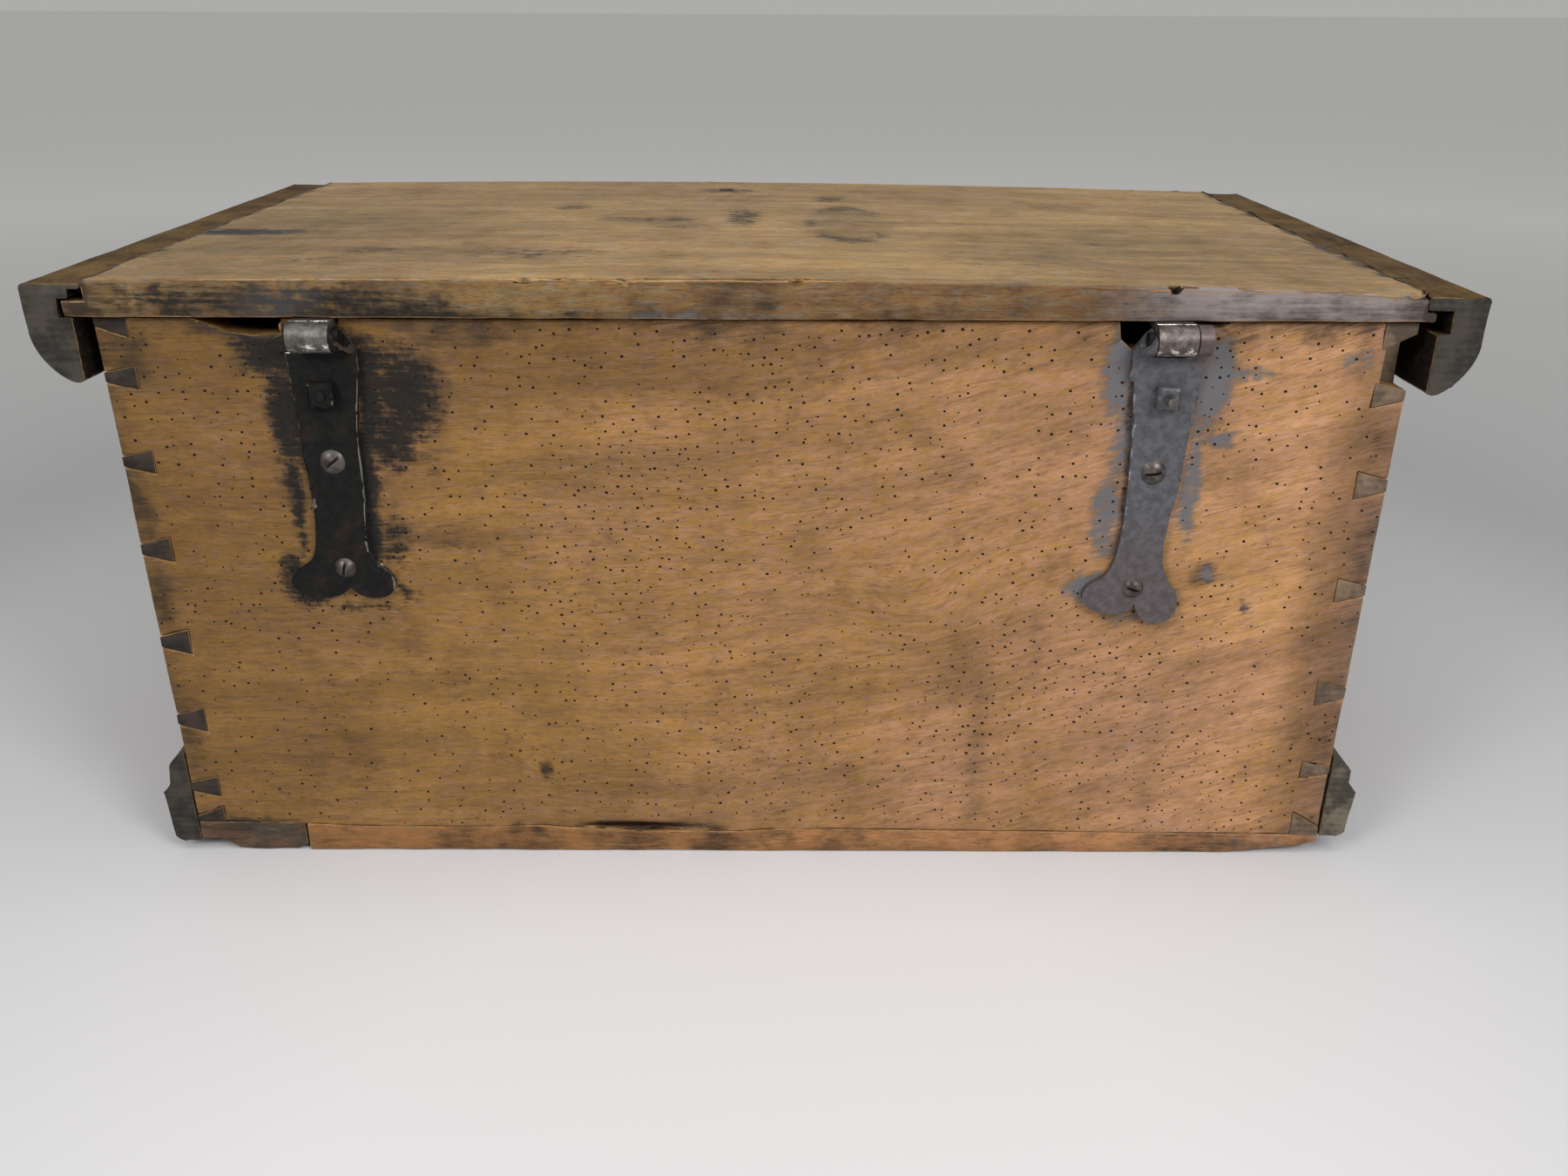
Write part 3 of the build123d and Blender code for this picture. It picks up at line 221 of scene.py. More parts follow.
# each pattern with its detail and how far it is bent
PATTERNS = ((FIGURE, 4.0, 0.8), (MOTTLE, 4.0, 0.5), (GROWTH, 3.0, 0.3), (FIBRE, 2.0, 0.0), (PORE, 1.0, 0.0))
NOISE_RANGE = {1: 0.36, 2: 0.64}  # noise hardly leaves these values, so they become its ends
PORE_DARK = "#3a2715"


def clean_wood(tree, redness, gold, rose, grey, line, contrast):
    """Planed walnut. Returns its colour and the patterns that later steps use again."""
    grain = add(tree, "Attribute", {}, 1, attribute_name="grain")
    patterns = []
    for size, detail, bent in PATTERNS:
        place = add(tree, "VectorMath", {0: grain, 1: size}, operation="MULTIPLY")
        inputs = {"Vector": place, "Scale": 1.0, "Detail": detail, "Distortion": bent}
        patterns.append(add(tree, "TexNoise", inputs))
    figure, mottle, growth, fibre, pore = patterns
    mottle = mottle.node.outputs["Color"]
    rosy, greyed, light = add(tree, "SeparateXYZ", {0: mottle}).node.outputs

    # The body: gold and rose in patches, some of them dulled, in broad lighter and darker bands
    hue = add(tree, "MapRange", {0: rosy, **NOISE_RANGE, 3: -0.38, 4: 0.38})
    hue = add(tree, "Math", {0: hue, 1: redness}, operation="ADD", use_clamp=True)
    colour = add(tree, "Mix", {0: hue, 6: gold, 7: rose}, 2, **COLOURS)
    dull = add(tree, "MapRange", {0: greyed, 1: 0.44, 2: 0.68, 4: 0.55}, **SMOOTH)
    colour = add(tree, "Mix", {0: dull, 6: colour, 7: grey}, 2, **COLOURS)
    tone = add(tree, "Mix", {0: 0.36, 2: figure, 3: light})
    swing = {3: 1 - 0.16 * contrast, 4: 1 + 0.15 * contrast}
    tone = add(tree, "MapRange", {0: tone, **NOISE_RANGE, **swing})
    colour = add(tree, "VectorMath", {0: colour, 3: tone}, operation="SCALE")

    # On it lie dark growth lines and open pores
    lines = add(tree, "Mix", {0: 0.45, 2: growth, 3: fibre})
    dark = add(tree, "MapRange", {0: lines, 1: 0.48, 2: 0.36, 4: 0.28 * contrast}, **SMOOTH)
    colour = add(tree, "Mix", {0: dark, 6: colour, 7: line}, 2, **COLOURS)
    pores = add(tree, "MapRange", {0: pore, 1: 0.58, 2: 0.67, 4: 0.27 * contrast})
    colour = add(tree, "Mix", {0: pores, 6: colour, 7: PORE_DARK}, 2, **COLOURS)
    return colour, lines, pores, growth, light


print("patterns in the wood:", len(PATTERNS))

# %% [markdown]
# Age lies over the clean wood. Some of it has clouded over or gone silver, the silver on the lid's rear edge
# partly a painted sheen, and shade dims it. Iron has turned it to ink: black where the wax is thick,
# blue-grey where it is thin. Dirt and ink each have a strength in an attribute, and strong noise is added to
# it, so that an edge breaks up along the grain. The dirt carries painted shade and shadow as well. Corners
# are rubbed pale, and holes and deep dents are darkened with painted shade.

# %% What use and damp have done to the wood
TATTERS = 210.0  # per metre, so noise about 5 mm across breaks up the edges of stains
BLOTCHES = 34.0  # per metre, so clouds about 30 mm across
# The first colour is dirt, and also the painted shade and shadow that the grime attribute carries.
DIRT_AND_SHADE, BROWN_HALO, THIN_INK = "#2a2118", "#3a3026", "#54493c"
BLACK_INK, BLUE_INK = "#0d0d0c", "#626266"
DARK_SILVER, PALE_SILVER_AND_SHEEN = "#655b58", "#aaa2a2"
RUBBED, HOLE_SHADE = "#b08a5a", "#241206"
EVEN_SPREAD = {3: -0.5, 4: 0.5}


def weathered(tree, colour, line, growth, light, marks, tones):
    """The wood after long use, with painted shade and sheen. Returns its colour and the blotches, which its
    gloss follows too.
    """
    stain, grime_and_shade, wear = marks
    redness, shade, hole = tones
    where = add(tree, "TexCoord", {}, 3)
    fine = {"Vector": where, "Detail": 6.0}
    ragged = add(tree, "TexNoise", {**fine, "Scale": TATTERS, "Roughness": 0.72})
    blotch = add(tree, "TexNoise", {**fine, "Scale": BLOTCHES, "Roughness": 0.62})
    streak = add(tree, "Mix", {0: 0.5, 2: growth, 3: light})
    bristle = add(tree, "Mix", {0: 0.5, 2: ragged, 3: streak})
    bristle = add(tree, "MapRange", {0: bristle, **NOISE_RANGE, **EVEN_SPREAD})
    cloudy = add(tree, "Mix", {0: 0.45, 2: blotch, 3: streak})
    cloudy = add(tree, "MapRange", {0: cloudy, **NOISE_RANGE, **EVEN_SPREAD})

    # Clouds, then silver where redness goes past 1, on the lid's rear edge partly a painted sheen, then
    # shade
    cloud = add(tree, "SeparateXYZ", {0: blotch.node.outputs["Color"]}).node.outputs[1]
    cloud = add(tree, "Mix", {0: 0.35, 2: cloud, 3: light})
    cloud = add(tree, "MapRange", {0: cloud, 1: 0.50, 2: 0.64, 4: 0.34}, **SMOOTH)
    colour = add(tree, "Mix", {0: cloud, 6: colour, 7: line}, 2, **COLOURS)
    silver_and_sheen = add(tree, "Math", {0: bristle, 1: 0.8, 2: redness}, operation="MULTIPLY_ADD")
    silver_and_sheen = add(tree, "MapRange", {0: silver_and_sheen, 1: 1.0, 2: 1.7, 4: 0.85})
    silver = add(tree, "Mix", {0: blotch, 6: DARK_SILVER, 7: PALE_SILVER_AND_SHEEN}, 2, **COLOURS)
    colour = add(tree, "Mix", {0: silver_and_sheen, 6: colour, 7: silver}, 2, **COLOURS)
    dim = add(tree, "Math", {0: cloudy, 1: 0.6, 2: shade}, operation="MULTIPLY_ADD")
    dim = add(tree, "MapRange", {0: dim, 1: -0.8, 2: 1.0, 3: 1.27, 4: 0.5})
    colour = add(tree, "VectorMath", {0: colour, 3: dim}, operation="SCALE")

    # Dirt and painted shade, then the brown halo of a stain, then its ink
    bluish = add(tree, "MapRange", {0: redness, 1: 0.48, 2: 0.62})
    ink = add(tree, "Mix", {0: bluish, 6: BLACK_INK, 7: BLUE_INK}, 2, **COLOURS)
    thin = add(tree, "MapRange", {0: ragged, 1: 0.48, 2: 0.75, 4: 0.18})
    ink = add(tree, "Mix", {0: thin, 6: ink, 7: THIN_INK}, 2, **COLOURS)
    for amount, edge, low, high, strength, dirt in (
        (grime_and_shade, cloudy, 0.10, 1.00, 0.90, DIRT_AND_SHADE),
        (stain, cloudy, 0.05, 0.95, 0.62, BROWN_HALO),
        (stain, bristle, 0.20, 0.86, 0.95, ink),
    ):
        reach = add(tree, "Math", {0: amount, 1: edge}, operation="ADD")
        reach = add(tree, "MapRange", {0: reach, 1: low, 2: high, 4: strength}, **SMOOTH)
        present = add(tree, "MapRange", {0: amount, 1: 0.0, 2: 0.2})
        share = add(tree, "Math", {0: reach, 1: present}, operation="MULTIPLY")
        colour = add(tree, "Mix", {0: share, 6: colour, 7: dirt}, 2, **COLOURS)
    # Rubbed corners are paler; holes and deep dents are darkened with painted shade.
    worn = add(tree, "Math", {0: wear, 1: ragged}, operation="MULTIPLY")
    worn = add(tree, "MapRange", {0: worn, 1: 0.28, 2: 0.55, 4: 0.48}, **SMOOTH)
    for share, paint in ((worn, RUBBED), (hole, HOLE_SHADE)):
        colour = add(tree, "Mix", {0: share, 6: colour, 7: paint}, 2, **COLOURS)
    return colour, blotch


print("ink runs from", BLACK_INK, "to", BLUE_INK)

# %% [markdown]
# Old wax sits on the wood as a soft, patchy gloss, duller where the blotches are. Pores and growth
# lines stay open under it as shallow grooves, at most about 0.2 mm deep, so they are a bump.

# %% Old waxed walnut
WALNUT_IOR = 1.5  # wood under old wax
GROOVE_DEPTH = 0.25 * MM


def walnut(name, gold, rose, grey, line, contrast=1.0, roughness=0.56, sheen=0.25):
    """Old walnut, long grain: three body colours that lie in patches, and one for its dark lines."""
    material, tree, shader = new_material(name)
    marks, tones = three_numbers(tree, "marks"), three_numbers(tree, "tones")
    colour, lines, pores, growth, light = clean_wood(tree, tones[0], gold, rose, grey, line, contrast)
    colour, blotch = weathered(tree, colour, line, growth, light, marks, tones)
    height = add(tree, "Math", {0: lines, 1: pores}, operation="SUBTRACT")
    bump = add(tree, "Bump", {"Strength": 0.4, "Distance": GROOVE_DEPTH, "Height": height})
    rough = add(tree, "MapRange", {0: blotch, 1: 0.3, 2: 0.7, 3: roughness - 0.08, 4: roughness + 0.1})
    looks = {"Base Color": colour, "Normal": bump, "Roughness": rough}
    feed(shader, {**looks, "IOR": WALNUT_IOR, "Specular IOR Level": sheen})
    return material


back_walnut = walnut("waxed walnut, back", "#a57a3c", "#b08363", "#8a6a49", "#553a25", 1.25)
print("made", back_walnut.name)

# %% [markdown]
# The other boards are the same timber with another history. The lid's top is paler and greyer, partly from
# handling and partly as a painted sheen, the inside never saw light or wax, and the bottom board's edge is
# orange-brown.

# %% The same walnut, aged in other ways
# The lid's pale grey is partly a painted sheen.
lid_walnut_with_painted_sheen = walnut("waxed walnut, lid", "#9a7b48", "#8d6540", "#918571", "#46331f", 1.6, 0.5)
plain_walnut = walnut("dry walnut, inside and ends", "#8f6a3f", "#95704f", "#7a674b", "#5c4229", 0.9, 0.64)
bottom_walnut = walnut("walnut of the bottom board", "#96683a", "#ad7a52", "#7c6346", "#5a3c22", 1.1, 0.58)
cleat_walnut = walnut("waxed walnut, cleats", "#624a24", "#594124", "#4e3f29", "#2c2113", 1.2, 0.62, 0.08)
dark_walnut = walnut("dark greyed walnut", "#463d2f", "#4a3f33", "#3a362e", "#28211a", 1.1, 0.62)
patch_walnut = walnut("walnut of the old repair", "#463e32", "#745039", "#4d4741", "#201a14", 1.7, 0.62)
print("walnut finishes:", len([m for m in bpy.data.materials if "walnut" in m.name]))

# %% [markdown]
# Where a board is cut across, the pores stand open like the ends of straws. Such a face drinks
# dirt and wax, goes dark grey-brown and shows the marks of the saw. It gets its own material,
# which goes on the faces that look along the grain.

# %% End grain, dark with dirt and sawn rough
SAW_MARKS = (1 / 1.9, 1 / 26.6, 1.0)  # the saw left ridges 1.9 mm apart, each some 27 mm long
SAW_SLANT = math.radians(24)
RING_SCALE = 0.09  # a wave repeats each 0.31 of a unit, so growth rings lie about 3.5 mm apart
GRIME_BLOTCHES = 70.0  # per metre, so about 14 mm across
SAW_RELIEF = 0.3 * MM
END_HOLE_SHADE = "#120b06"


def end_grain(name, dark, light):
    """Wood cut across its fibres: growth rings as arcs, saw marks on the slant, dirt in both."""
    material, tree, shader = new_material(name)
    grain, hole = three_numbers(tree, "grain"), three_numbers(tree, "tones")[2]
    face = add(tree, "CombineXYZ", {0: grain[1], 1: grain[2]})
    slant = add(tree, "VectorRotate", {"Vector": face, "Angle": SAW_SLANT}, rotation_type="Z_AXIS")
    stretch = add(tree, "VectorMath", {0: slant, 1: SAW_MARKS}, operation="MULTIPLY")
    saw = add(tree, "TexNoise", {"Vector": stretch, "Scale": 1.0, "Detail": 2.0})
    inputs = {"Vector": face, "Scale": RING_SCALE, "Distortion": 3.0, "Detail": 2.0}
    rings = add(tree, "TexWave", inputs, 1, wave_type="RINGS")
    where = add(tree, "TexCoord", {}, 3)
    inputs = {"Vector": where, "Scale": GRIME_BLOTCHES, "Detail": 5.0, "Roughness": 0.6}
    blotch = add(tree, "TexNoise", inputs)
    tone = add(tree, "Mix", {0: 0.3, 2: saw, 3: rings})
    tone = add(tree, "Mix", {0: 0.86, 2: tone, 3: blotch})
    tone = add(tree, "MapRange", {0: tone, 1: 0.38, 2: 0.64}, **SMOOTH)
    colour = add(tree, "Mix", {0: tone, 6: dark, 7: light}, 2, **COLOURS)
    # Painted shade in holes and deep dents.
    colour = add(tree, "Mix", {0: hole, 6: colour, 7: END_HOLE_SHADE}, 2, **COLOURS)
    bump = add(tree, "Bump", {"Strength": 0.5, "Distance": SAW_RELIEF, "Height": tone})
    looks = {"Base Color": colour, "Normal": bump, "Roughness": 0.68}
    feed(shader, {**looks, "IOR": WALNUT_IOR, "Specular IOR Level": 0.35})
    return material


grimy_ends = end_grain("end grain, grimy", "#18130e", "#352b20")
cleat_ends = end_grain("end grain, cleats", "#1c1915", "#3c372f")
brown_ends = end_grain("end grain, brown", "#4b3d31", "#76624f")
moulding_ends = end_grain("end grain, moulding", "#37322b", "#6b6253")
print("end grain finishes:", len([m for m in bpy.data.materials if "end grain" in m.name]))

# %% [markdown]
# The hinges are wrought iron, hammered hot and never polished. One strap kept its black forge
# scale, the other has been rubbed to a smooth blue-grey, and the loops, where hands and the lid
# have worked, shine with bare metal. Scale is part oxide, so it isn't fully metallic. Hammer
# marks are about 9 mm across and the pitting about 1 mm.

# %% Forged iron, from black scale to bare metal
HAMMER = 1 / 0.009  # per metre
PITTING = 1 / 0.0011
SCALE_CLOUDS = HAMMER * 2.2  # lighter and darker scale, about 4 mm across
HAMMER_RELIEF = 0.4 * MM
# The second colour is painted shade, in slots, inside an ear and under the lid's edge.
RUST, PAINTED_SHADE_ON_IRON = "#573420", "#0e0c0b"


def forged_iron(name, dark, light, bare, metallic, roughness, bright, rust=0.0, sheen=0.5):
    """Wrought iron. bright is how much bare metal shows, rust how brown it is, sheen its gloss."""
    material, tree, shader = new_material(name)
    where = add(tree, "TexCoord", {}, 3)
    rub_and_highlight, dirt, wear = three_numbers(tree, "marks")
    damp = three_numbers(tree, "tones")[0]
    hammer = add(tree, "TexNoise", {"Vector": where, "Scale": HAMMER, "Detail": 2.0})
    pits = add(tree, "TexNoise", {"Vector": where, "Scale": PITTING, "Detail": 3.0})
    inputs = {"Vector": where, "Scale": SCALE_CLOUDS, "Detail": 5.0, "Roughness": 0.65}
    cloud = add(tree, "TexNoise", inputs)

    # Scale, then rust where it is damp, then bare metal where it is rubbed, on one strap's side also a
    # painted highlight, then dirt, which on iron is painted shade
    tone = add(tree, "MapRange", {0: cloud, 1: 0.35, 2: 0.65}, **SMOOTH)
    colour = add(tree, "Mix", {0: tone, 6: dark, 7: light}, 2, **COLOURS)
    damp = add(tree, "MapRange", {0: damp, 1: 0.5, 2: 1.0, 4: 0.9})
    rusty = add(tree, "MapRange", {0: hammer, 1: 0.52, 2: 0.72, 4: rust}, **SMOOTH)
    rusty = add(tree, "Math", {0: rusty, 1: damp}, operation="MAXIMUM")
    rub_and_highlight = add(tree, "Math", {0: rub_and_highlight, 1: 0.4, 2: cloud}, operation="MULTIPLY_ADD")
    scrape_and_highlight = add(tree, "Math", {0: wear, 1: 0.3, 2: rub_and_highlight}, operation="MULTIPLY_ADD")
    scrape_and_highlight = add(tree, "MapRange", {0: scrape_and_highlight, 1: 0.80 - bright, 2: 0.88 - bright}, **SMOOTH)
    for share, paint in ((rusty, RUST), (scrape_and_highlight, bare), (dirt, PAINTED_SHADE_ON_IRON)):
        colour = add(tree, "Mix", {0: share, 6: colour, 7: paint}, 2, **COLOURS)

    metal = add(tree, "MapRange", {0: scrape_and_highlight, 3: metallic, 4: 0.95})
    rough = add(tree, "MapRange", {0: scrape_and_highlight, 3: roughness, 4: 0.3})
    relief = add(tree, "Mix", {0: 0.35, 2: hammer, 3: pits})
    bump = add(tree, "Bump", {"Strength": 0.5, "Distance": HAMMER_RELIEF, "Height": relief})
    looks = {"Base Color": colour, "Metallic": metal, "Roughness": rough, "Normal": bump}
    feed(shader, {**looks, "Specular IOR Level": sheen})
    return material


# name, dark, light, bare metal, metallic, roughness, bright, rust, sheen
black_scale = forged_iron(
    "wrought iron, black scale", "#0b0c0b", "#151614", "#807c77", 0.0, 0.66, 0.02, 0.12, 0.16
)
blue_iron = forged_iron(
    "wrought iron, rubbed blue-grey", "#4c4c50", "#606065", "#a5a5a7", 0.4, 0.42, 0.07, 0.08
)
bare_iron = forged_iron("iron rubbed bright", "#45423e", "#6a6661", "#dcd8d0", 0.55, 0.46, 0.15, 0.2)
brown_iron = forged_iron("iron gone brown", "#4c4440", "#766d69", "#dedad4", 0.5, 0.42, 0.14, 0.3)
screw_iron = forged_iron("screw heads, browned", "#37312e", "#5f5652", "#968c86", 0.5, 0.38, 0.08, 0.2)
print("iron finishes:", len([m for m in bpy.data.materials if "iron" in m.name or "screw" in m.name]))

# %% [markdown]
# A new box has knife-sharp corners. An old one doesn't, and no two of its edges are worn alike.
# The tool built below takes a CAD piece, rounds its outer edges with a real bevel, cuts its faces
# into small cells, and pushes the surface in a little with smooth noise. Every move goes into the
# wood, never out, so the piece keeps its size and stays clear of its neighbours. The cells also
# give the attributes something to live on. The tool is made of small functions, in millimetres.
#
# The first one follows the grain. It isn't quite straight, so its level drifts by a few mm.

# %% Where a point lies in the grain
GRAIN_AXES = {"x": (0, 2, 1), "y": (1, 0, 2), "z": (2, 0, 1)}  # along, across, through
GRAIN_DRIFT = 5.0
DRIFT_LONG, DRIFT_WIDE = 130, 60  # it rises and falls over these lengths, in mm


def along_grain(axis, flow=None):
    """A function that says how far a point is along, across and through a straight grain, in mm."""

    def place(point):
        along, side, deep = (point[i] for i in GRAIN_AXES[axis])
        wander = Vector((along / DRIFT_LONG, side / DRIFT_WIDE, deep / DRIFT_WIDE))
        lift = GRAIN_DRIFT * noise.noise(wander) + (flow(point) if flow else 0.0)
        return Vector((along, side + lift, deep))

    return place


print("100 mm along a board:", [round(v, 1) for v in along_grain("x")(Vector((100, 0, 0)))])

# %% [markdown]
# The faces are cut by planes at uneven heights, and then the points inside a flat face are slid
# along it, so that neither shading nor beetle holes fall into straight rows. A cut numbers the
# new faces differently from run to run. They are put in order by their place, because the same
# script should always give the same chest.

# %% Cells that don't lie in rows
ORDER_BY = Vector((1.0, 9.7, 94.1))  # weights that hardly ever give two faces the same number
FLAT = 0.9999  # the least cosine between faces that count as one flat face
SLIDE_WAVE = 17  # mm
# the noise is read at three places far apart, for the three directions of a slide
APART = (Vector((0.0, 0.0, 0.0)), Vector((9.3, -1.5, -7.9)), Vector((-4.1, 6.7, 2.8)))


def cut_heights(low, high, step, draw):
    """Uneven heights between low and high, about one step apart."""
    heights, height = [], low + step * draw.uniform(0.7, 1.1)
    while height < high - 0.4 * step:
        heights.append(height)
        height += step * draw.uniform(0.8, 1.2)
    return heights


def cut(mesh, parts, k, height):
    """Cuts some parts of the mesh by the plane that stands square to axis k at a height."""
    normal = [float(i == k) for i in range(3)]
    plane = [height * n for n in normal]
    bmesh.ops.bisect_plane(mesh, geom=parts, plane_co=plane, plane_no=normal, dist=0.01)


def put_in_order(mesh):
    """Numbers the faces by where they lie."""
    mesh.faces.sort(key=lambda face: face.calc_center_median().dot(ORDER_BY))


def drift(mesh, reach):
    """Slides the points inside flat faces along them, by smooth noise."""
    for vertex in mesh.verts:
        normal = vertex.normal
        if all(face.normal.dot(normal) > FLAT for face in vertex.link_faces):
            push = Vector([noise.noise(vertex.co / SLIDE_WAVE + shift) for shift in APART]) * reach * 2
            length = min(push.length, reach)
            push = push.normalized() * length
            vertex.co += push - normal * push.dot(normal)


print("cuts in 100 mm:", len(cut_heights(0, 100, 6, random.Random(1))))

# %% [markdown]
# A bump in a material can't break the outline of an arris, so dents and broken holes are real. A
# dent is written as a centre, three half sizes and a depth. Round a small one the cells are cut
# finer first, or its outline would be as coarse as they are.

# %% Dents and broken holes
DENT_CUTS = (-1, -0.7, -0.35, 0, 0.35, 0.7, 1)  # as shares of a dent's half size


def dent_push(point, normal, dents):
    """How far the deepest dent here moves a point.

    A dent is a soft hollow, pressed in square to the surface. With a direction as well, it is a
    steep hole that goes that way.
    """
    push = Vector((0.0, 0.0, 0.0))
    for centre, reach, deep, *way in dents:
        away = sum(((p - c) / r) ** 2 for p, c, r in zip(point, centre, reach))
        if away < 1:
            share = min(1.0, 2.5 * (1 - away)) if way else (1 - away) ** 2
            here = (Vector(way[0]) if way else -normal) * deep * share
            push = max(push, here, key=lambda p: p.length)
    return push


def refine(mesh, dents, step):
    """Cuts finer cells round the small dents."""
    for centre, reach, *rest in dents:
        for k in range(3):
            if min(reach) > step or reach[k] > 2 * step:
                continue
            for share in DENT_CUTS:
                near = []
                for face in mesh.faces:
                    middle = face.calc_center_median()
                    if all(abs(middle[i] - centre[i]) < reach[i] + step for i in range(3)):
                        near.append(face)
                parts = dict.fromkeys(part for face in near for part in (face, *face.edges, *face.verts))
                cut(mesh, list(parts), k, centre[k] + share * reach[k])
                put_in_order(mesh)


one_dent = ((0, 0, 0), (5, 5, 5), 2.0)
print("in the middle of a dent:", dent_push(Vector((0, 0, 0)), Vector((0, 0, 1)), [one_dent]))

# %% [markdown]
# Beetles leave round holes, mostly 0.7 to 1.6 mm across. Each is opened in one cell: its rim is an
# eight-sided ring of new points, joined to the cell's corners, and a wall goes down to a point.
# Which cells get one is drawn by lot, and the lot depends only on where the cell lies.

# %% Beetle holes
HOLE_SIDES = 8  # two for each corner of the cell
HOLE_DEPTH = 1.2
SMALLEST_RADIUS, MORE_RADIUS = 0.36, 0.44
ROOM_FOR_HOLE = 3.2  # the least side of a cell that takes a hole
HOLE_MARGIN = 0.2
FIRST_CORNER = 225  # where the cell's first corner lies, in degrees from its first side


def bore(mesh, face, radius, layer, draw):
    """Opens a round hole with a pointed bottom in one four-sided cell."""
    corners = list(face.verts)
    normal = face.normal.copy()
    side = (corners[1].co - corners[0].co).normalized()
    up = normal.cross(side)
    spread = [max(face.edges[i].calc_length() / 2 - radius - HOLE_MARGIN, 0.0) for i in (0, 1)]
    centre = face.calc_center_median() + side * draw.uniform(-1, 1) * spread[0]
    centre += up * draw.uniform(-1, 1) * spread[1]
    rim, wall = [], []
    for k in range(HOLE_SIDES):
        turn = math.radians(FIRST_CORNER + 360 / HOLE_SIDES * k)
        arm = side * math.cos(turn) + up * math.sin(turn)
        rim.append(mesh.verts.new(centre + arm * radius))
        wall.append(mesh.verts.new(centre + arm * radius * 0.8 - normal * HOLE_DEPTH * 0.3))
    tip = mesh.verts.new(centre - normal * HOLE_DEPTH)
    for vertex in wall + [tip]:
        vertex[layer] = 1.0
    mesh.faces.remove(face)
    for i in range(4):
        here, nearest, after = corners[i], rim[2 * i], rim[2 * i + 1]
        mesh.faces.new((here, corners[(i + 1) % 4], after))
        mesh.faces.new((here, after, nearest))
        mesh.faces.new((here, nearest, rim[2 * i - 1]))
    for k in range(HOLE_SIDES):
        following = (k + 1) % HOLE_SIDES
        mesh.faces.new((rim[k], rim[following], wall[following], wall[k]))
        mesh.faces.new((wall[k], wall[following], tip))


def bore_holes(mesh, beetles, rubbed, hole, seed):
    """Bores holes in flat cells that have room. beetles says how many there are per mm2."""
    for face in mesh.faces[:]:
        shortest = min(edge.calc_length() for edge in face.edges)
        if len(face.verts) != 4 or face[rubbed] or shortest <= ROOM_FOR_HOLE:
            continue
        middle = face.calc_center_median()
        draw = random.Random(str([seed] + [round(c) for c in middle]))
        if draw.random() < beetles(middle, face.normal) * face.calc_area():
            bore(mesh, face, SMALLEST_RADIUS + MORE_RADIUS * draw.random() ** 1.5, hole, draw)


print("widest hole:", 2 * (SMALLEST_RADIUS + MORE_RADIUS), "mm")

# %% [markdown]
# The outer edges get a real bevel, two faces wide, and its faces are noted as rubbed. Later each
# point is moved in: by soft waves all over, by wear where an edge is rubbed, and by dents. Along
# the way it is given its attributes, "grain", "marks" and "tones".

# %% Worn edges and an uneven surface
SHARP_EDGE = math.radians(40)
CORNER_LENGTHS = 5  # an edge is rounded when it is longer than this many of its worn widths
LONG_WAVE, SHORT_WAVE, WEAR_WAVE = 34, 11, 19  # mm over which the noise rises and falls
# Deep dents get painted shade, starting at the first depth and black at the second.
DENT_SHADE_STARTS, DENT_SHADE_FULL = 0.9, 2.0  # mm; a dent starts to look dark at one and is black at the other


def soften_edges(mesh, arris, rubbed):
    """Rounds the long outer edges by a real bevel, and marks the new faces as rubbed."""
    outer = [e for e in mesh.edges if e.is_convex and e.calc_face_angle() > SHARP_EDGE]
    sharp = [e for e in outer if e.calc_length() > CORNER_LENGTHS * arris]
    made = bmesh.ops.bevel(
        mesh, geom=sharp, offset=arris, offset_type="OFFSET", segments=2, profile=0.5,
        affect="EDGES", clamp_overlap=False,
    )
    for face in made["faces"]:
        face[rubbed] = 1


def wear_surface(mesh, layers, place, arris, rough, marks, tones, bend, dents, low, high):
    """Gives each point its attributes and moves it in by waves, wear and dents, inside its box."""
    rubbed, hole, grain, mark, tone = layers
    moves = []
    for vertex in mesh.verts:
        point = vertex.co.copy()
        worn = sum(f[rubbed] for f in vertex.link_faces) / max(len(vertex.link_faces), 1)
        wave = noise.noise(point / LONG_WAVE) + 0.6 * noise.noise(point / SHORT_WAVE)
        depth = rough * (0.5 + 0.5 * wave)
        depth += worn * arris * max(noise.noise(point / WEAR_WAVE) + 0.15, 0.0)
        if vertex[hole] > 0:
            depth = 0.0
        dent = dent_push(point, vertex.normal, dents)
        vertex[grain] = place(point)
        stain, grime_and_shade = marks(point, vertex.normal) if marks else (0.0, 0.0)
        vertex[mark] = (stain, grime_and_shade, worn)
        redness, shade = tones(point, vertex.normal) if tones else (0.5, 0.0)
        # Painted shade in holes and in dents deeper than the first depth.
        dark = max(vertex[hole], soft_step(DENT_SHADE_STARTS, DENT_SHADE_FULL, dent.length))
        vertex[tone] = (redness, shade, dark)
        point += dent - vertex.normal * max(depth, 0.0)
        moves.append((vertex, Vector([min(max(p, l), h) for p, l, h in zip(point, low, high)])))
    for vertex, point in moves:
        vertex.co = point + Vector((0.0, 0.0, bend(point))) if bend else point


print("edges sharper than", round(math.degrees(SHARP_EDGE)), "degrees are rounded")

# %% [markdown]
# The whole tool. It works on a copy of the CAD mesh, never on the mesh itself, hides the CAD node, and puts
# the copy on the body that the node rides on.

# %% A tool that ages one piece
SAME_PLANE = math.radians(0.5)
SHADED_SHARP = math.radians(38)
ACROSS_GRAIN = 0.7  # a face whose direction lies this much along the grain shows end grain


